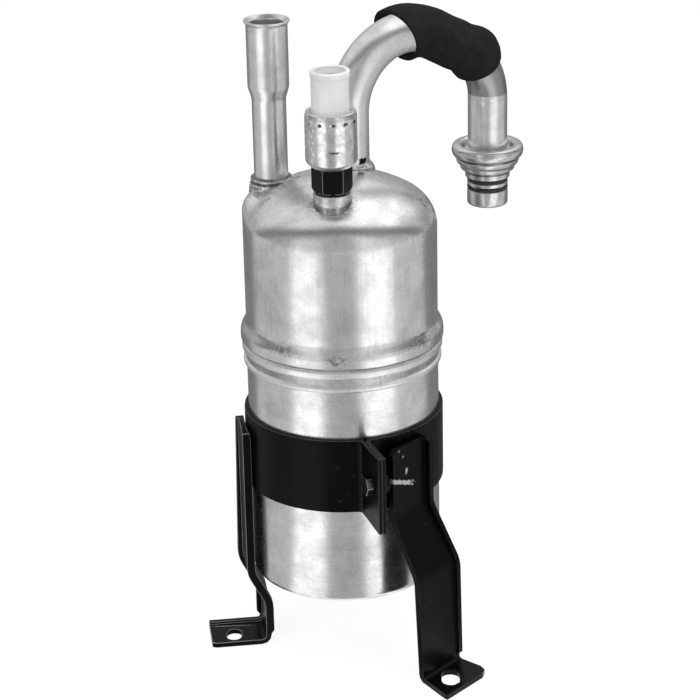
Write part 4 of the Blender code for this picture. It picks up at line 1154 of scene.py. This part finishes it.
@dataclass
class Switch(DomeFitting):
    """Pressure switch: boss, black hexagon, crimped can and plug shroud."""

    spot: tuple[float, float] = SWITCH_SPOT
    boss: float = 8.7
    boss_top: float = 197.9
    hex_corner: float = 9.35
    hex_top: float = 210.1
    hex_turn: float = math.radians(-117.0)
    can: float = CAN_RADIUS
    can_top: float = 236.0
    shroud: float = 8.4
    shroud_bore: float = 6.6
    shroud_top: float = 254.5
    dimple_depth: float = 0.55
    dash_depth: float = 0.25
    knurl_depth: float = 0.28
    knurl_foot: float = 214.0
    knurl_head: float = 234.0

    def build(self) -> None:
        """Build and dress the switch from its boss up."""
        self.build_boss()
        self.build_hexagon()
        self.build_can()
        self.build_shroud()
        for number in (1, 2):
            self.dress(f"terminal_pin_{number}", "turned")
        self.dress("valve_core", "turned")
        self.dress("switch_o_ring", "rubber")
        self.dress("snap_disc", "steel")

    def build_boss(self) -> None:
        """Boss on the dome, with a small fillet at its foot."""
        level = self.boss_top
        rows = [(2.6, 0.0, 0.1), (self.boss + 0.2, 0.0, 0.05),
                (self.boss + 0.2, 0.0, 0.6), (self.boss, 0.1, 1.2),
                (self.boss, 1.0, -0.7), (self.boss - 0.2, 1.0, -0.2),
                (self.boss - 0.7, 1.0, 0.0), (5.0, 1.0, 0.0), (5.0, 1.0, 9.0),
                (4.2, 1.0, 9.7), (2.6, 1.0, 9.7)]
        self.piece("switch_boss_skin", self.saddle(rows, level, 96), "boss", "machined_aluminium",
                   ["switch_boss"], crease=35.0)

    def build_hexagon(self) -> None:
        """Black hexagon with turned-off lower corners and a painted highlight on its rounded edges."""
        seat = self.boss_top + 0.3
        sides = 96
        stations = []
        for height, limit in ((seat, self.hex_corner - 1.6), (seat + 0.7, self.hex_corner - 0.7),
                              (seat + 2.2, self.hex_corner), (self.hex_top, self.hex_corner)):
            loop = []
            for step in range(sides):
                angle = 2 * math.pi * step / sides
                within = (angle + math.pi / 6) % (math.pi / 3) - math.pi / 6
                flat = self.hex_corner * math.cos(math.pi / 6) / math.cos(math.pi / 6 - abs(within))
                out = min(flat, limit)
                loop.append(round_point(self.spot, out, angle + self.hex_turn, height))
            stations.append(loop)
        bore = []
        for height, size in ((self.hex_top, 2.0), (seat + 9.8, 2.0), (seat + 9.8, 5.3),
                             (seat + 2.1, 5.3), (seat + 2.1, 7.4), (seat, 7.4)):
            bore.append([round_point(self.spot, size, 2 * math.pi * side / sides + self.hex_turn, height)
                         for side in range(sides)])
        # The hexagon's rounded edges take the lighter crest finish, a painted edge highlight.
        self.piece("switch_hex_skin", lofted(stations + bore, wrap=True), "black", "black_plastic",
                   ["switch_hex"], crease=25.0, edge=0.28, rim="crest")

    def build_can(self) -> None:
        """Crimped can with dimples under its lip and a pressed dash."""
        low = self.hex_top + 0.3
        can = self.can
        rim = self.shroud + 0.9
        outline = rounded([(2.0, low), (can - 2.3, low, 0.8), (can, low + 2.6, 2.2),
                           (can, self.can_top - 2.4, 0.8), (can - 0.5, self.can_top - 0.3, 0.6),
                           (can - 1.3, self.can_top, 0.5), (rim, self.can_top - 0.2, 0.2),
                           (rim, self.can_top - 0.8), (can - 1.0, self.can_top - 0.8),
                           (can - 1.0, low + 2.6), (can - 2.0, low + 1.0), (2.0, low + 1.0)],
                          steps=6)
        dense: Outline = []
        for first, second in zip(outline, outline[1:] + outline[:1]):
            parts = 1
            if first[0] > can - 0.01 and second[0] > can - 0.01:
                parts = max(1, int(abs(second[1] - first[1]) / 0.35))
            dense += [tuple(a + (b - a) * part / parts for a, b in zip(first, second))
                      for part in range(parts)]
        mesh = revolved(dense, self.spot, 220, wobble=self.pressed)
        self.piece("switch_can_skin", mesh, "pressed", "machined_aluminium", ["switch_can"], crease=50.0)

    def pressed(self, point: Vector) -> Vector:
        """Push the can's wall in at its dimples, its dash and its knurled patch.

        Args:
            point: a point of the can.

        Returns:
            The moved point.
        """
        away = Vector((point.x - self.spot[0], point.y - self.spot[1], 0.0))
        out = away.length
        if out < self.can - 0.4:
            return point
        angle = math.degrees(math.atan2(away.y, away.x))
        depth = 0.0
        for centre in range(-180, 180, 30):
            turn = (angle - centre - 3.0 + 180.0) % 360.0 - 180.0
            gap = math.hypot(math.radians(turn) * self.can, (point.z - DIMPLE_HEIGHT) * 1.4)
            depth = max(depth, self.dimple_depth * max(0.0, 1.0 - gap ** 2))
        turn = math.radians((angle + 84.0 + 180.0) % 360.0 - 180.0) * self.can
        dash = max(abs(turn) / 2.4, abs(point.z - DASH_HEIGHT) / 0.5)
        depth = max(depth, self.dash_depth * max(0.0, min(1.0, 2.0 * (1.0 - dash))))
        left = (angle + 162.0 + 180.0) % 360.0 - 180.0
        if abs(left) < 34.0 and self.knurl_foot < point.z < self.knurl_head:
            rows = math.sin(left * 0.55) * math.sin((point.z - self.knurl_foot) * 1.15)
            depth = max(depth, self.knurl_depth * max(0.0, rows))
        return point - away.normalized() * depth

    def build_shroud(self) -> None:
        """Open plastic shroud for the plug."""
        out = self.shroud
        bore = self.shroud_bore
        top = self.shroud_top
        floor = self.can_top + 1.5
        seat = self.can_top - 9.2
        flange = self.can - 1.3
        ledge = self.can_top - 0.9
        lip = 0.6
        outline = rounded([(0.0, seat), (flange, seat), (flange, ledge, 0.2), (out + 0.2, ledge),
                           (out + 0.2, top - 3.6, 1.5), (out + lip, top - 2.4, 1.0),
                           (out + lip, top, 0.6), (bore + lip, top, 0.6), (bore + lip, top - 1.6, 1.0),
                           (bore, top - 3.4, 2.0), (bore, floor, 0.6), (0.0, floor)],
                          closed=False, steps=5)
        self.piece("connector_shroud_skin", revolved(outline, self.spot, 96, closed=False), "white",
                   "white_plastic", ["connector_shroud"], crease=40.0)


@dataclass
class Bracket(Group):
    """Clamp band with its lugs and hardware, and the two legs."""

    edge: float = 0.35

    def build(self) -> None:
        """Copy the bent sheets with rounded edges and dress the hardware."""
        for node, finish in (("clamp_band", "paint"), ("left_leg", "paint"), ("right_leg", "paint"),
                             ("clamp_bolt", "bolt"), ("clamp_nut", "black"), ("clamp_washer", "black")):
            self.copy(node, finish)

    def copy(self, node: str, finish: str) -> None:
        """Re-make a CAD node with softened edges.

        Args:
            node: the CAD node.
            finish: field name in the wardrobe.
        """
        bm = bmesh.new()
        bm.from_mesh(bpy.data.objects[node].data)
        bmesh.ops.remove_doubles(bm, verts=bm.verts, dist=2.0e-6)
        bmesh.ops.dissolve_limit(bm, angle_limit=math.radians(0.8), verts=bm.verts, edges=bm.edges)
        if node == "right_leg":
            self.widen(bm)
        slot = "black_paint" if finish == "paint" else "spring_steel"
        # Rounded edges of the painted sheets and of the bolt take a lighter finish: painted edge highlights.
        highlight_by_finish = {"paint": "highlight_coat", "bolt": "steel"}
        self.piece(node + "_skin", bm, finish, slot, [node], crease=32.0,
                   edge=self.edge if finish == "paint" else 0.2, rim=highlight_by_finish.get(finish, ""), scale=1.0)

    def widen(self, bm: bmesh.types.BMesh) -> None:
        """Move the right leg's outer edge a little further out, above its foot.

        Args:
            bm: the leg's mesh.
        """
        turn = math.radians(LEG_TURN)
        beside = Vector((-math.sin(turn), math.cos(turn), 0.0))
        near = min(vert.co.dot(beside) for vert in bm.verts)
        for vert in bm.verts:
            if vert.co.dot(beside) > near + 14.0 * MM:
                share = min(max((vert.co.z + 31.5 * MM) / (4.0 * MM), 0.0), 1.0)
                vert.co += beside * 1.8 * MM * share


@dataclass
class Insides(Group):
    """Pieces sealed in the canister."""

    def build(self) -> None:
        """Dress the hidden nodes."""
        for node, finish in (("desiccant_bag", "cloth"), ("pickup_tube", "tube"), ("oil_filter", "mesh"),
                             ("gas_deflector", "tube")):
            self.dress(node, finish)


@dataclass
class Studio:
    """White table, soft lamps, grey cards that shape the metal, and the camera."""

    floor: float = -35.0 * MM
    lens: float = 128.55
    eye: tuple[float, float, float] = (0.003507, -1.093264, 0.552558)
    pitch: float = math.radians(68.0)
    roll: float = math.radians(-1.178)
    arch_top: float = 62.0
    arch_reach: float = 110.0
    dome_radius: float = 2.6
    chords: int = 24

    def build(self) -> None:
        """Set up everything that isn't the drier."""
        bpy.context.scene.view_settings.view_transform = "Standard"
        self.build_camera()
        self.build_world()
        self.build_table()
        self.build_cards()
        self.build_lamps()

    def build_camera(self) -> None:
        """Camera at the photograph's angle."""
        data = bpy.data.cameras.new("camera")
        data.lens = self.lens
        data.sensor_width = 36.0
        data.clip_start = 0.01
        data.clip_end = 20.0
        camera = bpy.data.objects.new("camera", data)
        bpy.context.scene.collection.objects.link(camera)
        turn = Matrix.Rotation(self.pitch, 4, "X") @ Matrix.Rotation(self.roll, 4, "Z")
        camera.matrix_world = Matrix.Translation(self.eye) @ turn
        bpy.context.scene.camera = camera

    def build_world(self) -> None:
        """Plain grey world that shows white where it is seen."""
        world = bpy.data.worlds.new("studio_world")
        bpy.context.scene.world = world
        world.use_nodes = True
        tree = world.node_tree
        glow = tree.nodes["Background"]
        path = tree.nodes.new("ShaderNodeLightPath")
        seen = path.outputs["Is Camera Ray"]
        for ray in ("Is Transmission Ray", "Is Glossy Ray"):
            either = tree.nodes.new("ShaderNodeMath")
            either.operation = "MAXIMUM"
            tree.links.new(seen, either.inputs[0])
            tree.links.new(path.outputs[ray], either.inputs[1])
            seen = either.outputs[0]
        level = tree.nodes.new("ShaderNodeMapRange")
        level.inputs["To Min"].default_value = 0.55
        level.inputs["To Max"].default_value = 1.0
        tree.links.new(seen, level.inputs["Value"])
        tree.links.new(level.outputs["Result"], glow.inputs["Strength"])
        glow.inputs["Color"].default_value = (1.0, 1.0, 1.0, 1.0)

    def build_table(self) -> None:
        """White table that keeps a faint shadow."""
        sheet = NodeSheet("table_white")
        tree = sheet.tree
        tree.nodes.remove(sheet.shader)
        path = sheet.add("LightPath")
        seen = sheet.math("MAXIMUM", path.outputs["Is Camera Ray"], path.outputs["Is Transmission Ray"])
        seen = sheet.math("MAXIMUM", seen, path.outputs["Is Glossy Ray"])
        matt = sheet.add("BsdfDiffuse", {"Color": (0.16, 0.16, 0.16, 1.0)})
        glow = sheet.add("Emission", {"Color": (1.0, 1.0, 1.0, 1.0), "Strength": 0.89})
        both = sheet.add("AddShader")
        sheet.feed(both.inputs[0], matt.outputs[0])
        sheet.feed(both.inputs[1], glow.outputs[0])
        plain = sheet.add("BsdfDiffuse", {"Color": (0.75, 0.75, 0.75, 1.0)})
        mix = sheet.add("MixShader", {"Fac": seen})
        sheet.feed(mix.inputs[1], plain.outputs[0])
        sheet.feed(mix.inputs[2], both.outputs[0])
        sheet.feed(sheet.output.inputs["Surface"], mix.outputs[0])
        bm = bmesh.new()
        bmesh.ops.create_grid(bm, x_segments=1, y_segments=1, size=3.0)
        self.stage("table", bm, sheet.material, Matrix.Translation((0.0, 0.0, self.floor)))

    def stage(self, name: str, bm: bmesh.types.BMesh, material: bpy.types.Material,
              matrix: Matrix) -> bpy.types.Object:
        """Add a thing that isn't part of the drier."""
        mesh = bpy.data.meshes.new(name)
        bm.to_mesh(mesh)
        bm.free()
        mesh.materials.append(material)
        thing = bpy.data.objects.new(name, mesh)
        bpy.context.scene.collection.objects.link(thing)
        thing.matrix_world = matrix
        return thing

    def card(self, name: str, stations: Sequence[Sequence[Vector]], tone: float) -> None:
        """Grey card that only reflections see.

        Args:
            name: the card's name.
            stations: rows of points of the sheet.
            tone: its brightness.
        """
        sheet = NodeSheet(name + "_card")
        sheet.tree.nodes.remove(sheet.shader)
        glow = sheet.add("Emission", {"Color": (1.0, 1.0, 1.0, 1.0), "Strength": tone})
        sheet.feed(sheet.output.inputs["Surface"], glow.outputs[0])
        bm = bmesh.new()
        rows = [[bm.verts.new(point) for point in station] for station in stations]
        for first, second in zip(rows, rows[1:]):
            for index in range(len(first) - 1):
                bm.faces.new((first[index], first[index + 1], second[index + 1], second[index]))
        thing = self.stage(name, bm, sheet.material, Matrix.Identity(4))
        for kind in ("camera", "diffuse", "shadow", "transmission", "volume_scatter"):
            setattr(thing, "visible_" + kind, False)

    def build_cards(self) -> None:
        """Cards that only reflections see: round the table, in front, and overhead."""
        sectors = ((-180.0, -120.0, 0.20), (-120.0, -60.0, 0.50), (-60.0, -56.0, 0.85), (-56.0, -24.0, 1.22),
                   (-24.0, -20.0, 0.80), (-20.0, 18.0, 0.41), (18.0, 22.0, 0.80), (22.0, 58.0, 1.22),
                   (58.0, 62.0, 0.85), (62.0, 112.0, 0.56), (112.0, 180.0, 0.20))
        for number, (start, end, tone) in enumerate(sectors, start=1):
            rows = [self.ring(out, self.floor + 0.4 * MM, start, end) for out in (0.05, 0.2, 0.6, 2.4)]
            self.card(f"table_card_{number}", rows, tone)
            if -125.0 < start < 100.0:
                self.dome_card(f"wall_{number}", start, min(end, 107.0), 0.0, -19.0, 0.5 * tone + 0.18, 2)
        steps = ((-19.0, -15.0, 0.50), (-15.0, -11.0, 0.38), (-11.0, -7.0, 0.26), (-7.0, 6.0, 0.15),
                 (6.0, 10.0, 0.27), (10.0, 14.0, 0.42), (14.0, 18.0, 0.58))
        for number, (low, high, tone) in enumerate(steps, start=1):
            self.dome_card(f"gap_{number}", -118.0, 118.0, low, high, tone, 3)
        shades = ((-70.0, -45.0, 0.66), (-45.0, -25.0, 0.76), (-25.0, -8.0, 0.90), (-8.0, 10.0, 1.06),
                  (10.0, 70.0, 1.24), (-118.0, -70.0, 0.74))
        for number, (start, end, tone) in enumerate(shades, start=1):
            self.dome_card(f"ceiling_{number}", start, end, 18.0, 89.0, tone, 1)
        sides = ((5.0, 34.0, 0.50), (34.0, 43.0, 0.70), (43.0, 50.0, 0.95), (50.0, 89.0, 1.24))
        for number, (low, high, tone) in enumerate(sides, start=1):
            self.dome_card(f"side_{number}", 90.0, 118.0, low, high, tone)
        self.dome_card("ceiling_right", 70.0, 90.0, 18.0, 89.0, 1.24, 1)
        behind = ((0.0, 18.0, 0.40, 0.34), (18.0, 30.0, 0.56, 0.50), (30.0, 42.0, 0.68, 0.80),
                  (42.0, 89.0, 0.78, 1.22))
        for number, (low, high, left, right) in enumerate(behind, start=1):
            self.dome_card(f"back_left_{number}", -182.0, -118.0, low, high, left)
            self.dome_card(f"back_right_{number}", 118.0, 178.0, low, high, right)

    def dome_card(self, name: str, start: float, end: float, low: float, high: float, tone: float,
                  arched: int = 0) -> None:
        """Card that is a patch of a wide dome over the table.

        Args:
            name: the card's name.
            start: first angle round the dome in degrees, from the camera's side.
            end: last angle.
            low: lowest angle above the table.
            high: highest angle.
            tone: its brightness.
            arched: 1 where low is counted from the arch, 2 where high is, 3 for both.
        """
        rows = []
        for step in range(9):
            row = []
            for turn in self.fan(start, end):
                arch = self.arch_top * (1.0 - (turn / self.arch_reach) ** 2)
                foot = max(low + (arch if arched & 1 else 0.0), 0.0)
                head = max(high + (arch if arched & 2 else 0.0), foot + 0.1)
                rise = math.radians(foot + (head - foot) * step / 8)
                across = math.radians(turn)
                row.append(Vector((math.cos(rise) * math.sin(across), -math.cos(rise) * math.cos(across),
                                   math.sin(rise))) * self.dome_radius)
            rows.append(row)
        self.card(name, rows, tone)

    def fan(self, start: float, end: float) -> list[float]:
        """Angles from start to end in even steps."""
        return [start + (end - start) * step / self.chords for step in range(self.chords + 1)]

    def ring(self, out: float, height: float, start: float, end: float) -> list[Vector]:
        """Points on a level arc, its angles counted from the camera's side.

        Args:
            out: the arc's radius.
            height: its height.
            start: first angle in degrees, positive to the right.
            end: last angle.

        Returns:
            The points.
        """
        turns = [math.radians(turn) for turn in self.fan(start, end)]
        return [Vector((out * math.sin(turn), -out * math.cos(turn), height)) for turn in turns]

    def build_lamps(self) -> None:
        """Broad soft lamps: one overhead, one at each side of the camera."""
        aim = Vector((0.0, 0.0, 0.1))
        for name, place, size, power in (("overhead", (0.25, -0.05, 1.30), 0.9, 9.0),
                                         ("left_lamp", (-1.05, -1.00, 0.70), 0.7, 6.5),
                                         ("right_lamp", (1.05, -1.00, 0.70), 0.7, 6.5)):
            data = bpy.data.lights.new(name, "AREA")
            data.shape = "SQUARE"
            data.size = size
            data.energy = power
            lamp = bpy.data.objects.new(name, data)
            bpy.context.scene.collection.objects.link(lamp)
            lamp.location = place
            lamp.rotation_euler = (aim - Vector(place)).to_track_quat("-Z", "Y").to_euler()
            lamp.visible_glossy = False


def main() -> None:
    """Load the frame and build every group."""
    logging.basicConfig(level=logging.INFO, format="%(name)s: %(message)s")
    noise.seed_set(NOISE_SEED)
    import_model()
    Studio().build()
    wardrobe = Wardrobe()
    canister = Canister(wardrobe)
    canister.build()
    Inlet(wardrobe, canister).build()
    Outlet(wardrobe, canister).build()
    Coupling(wardrobe).build()
    Switch(wardrobe, canister).build()
    Bracket(wardrobe).build()
    Insides(wardrobe).build()
    bpy.context.view_layer.update()


if __name__ == "__main__":
    main()
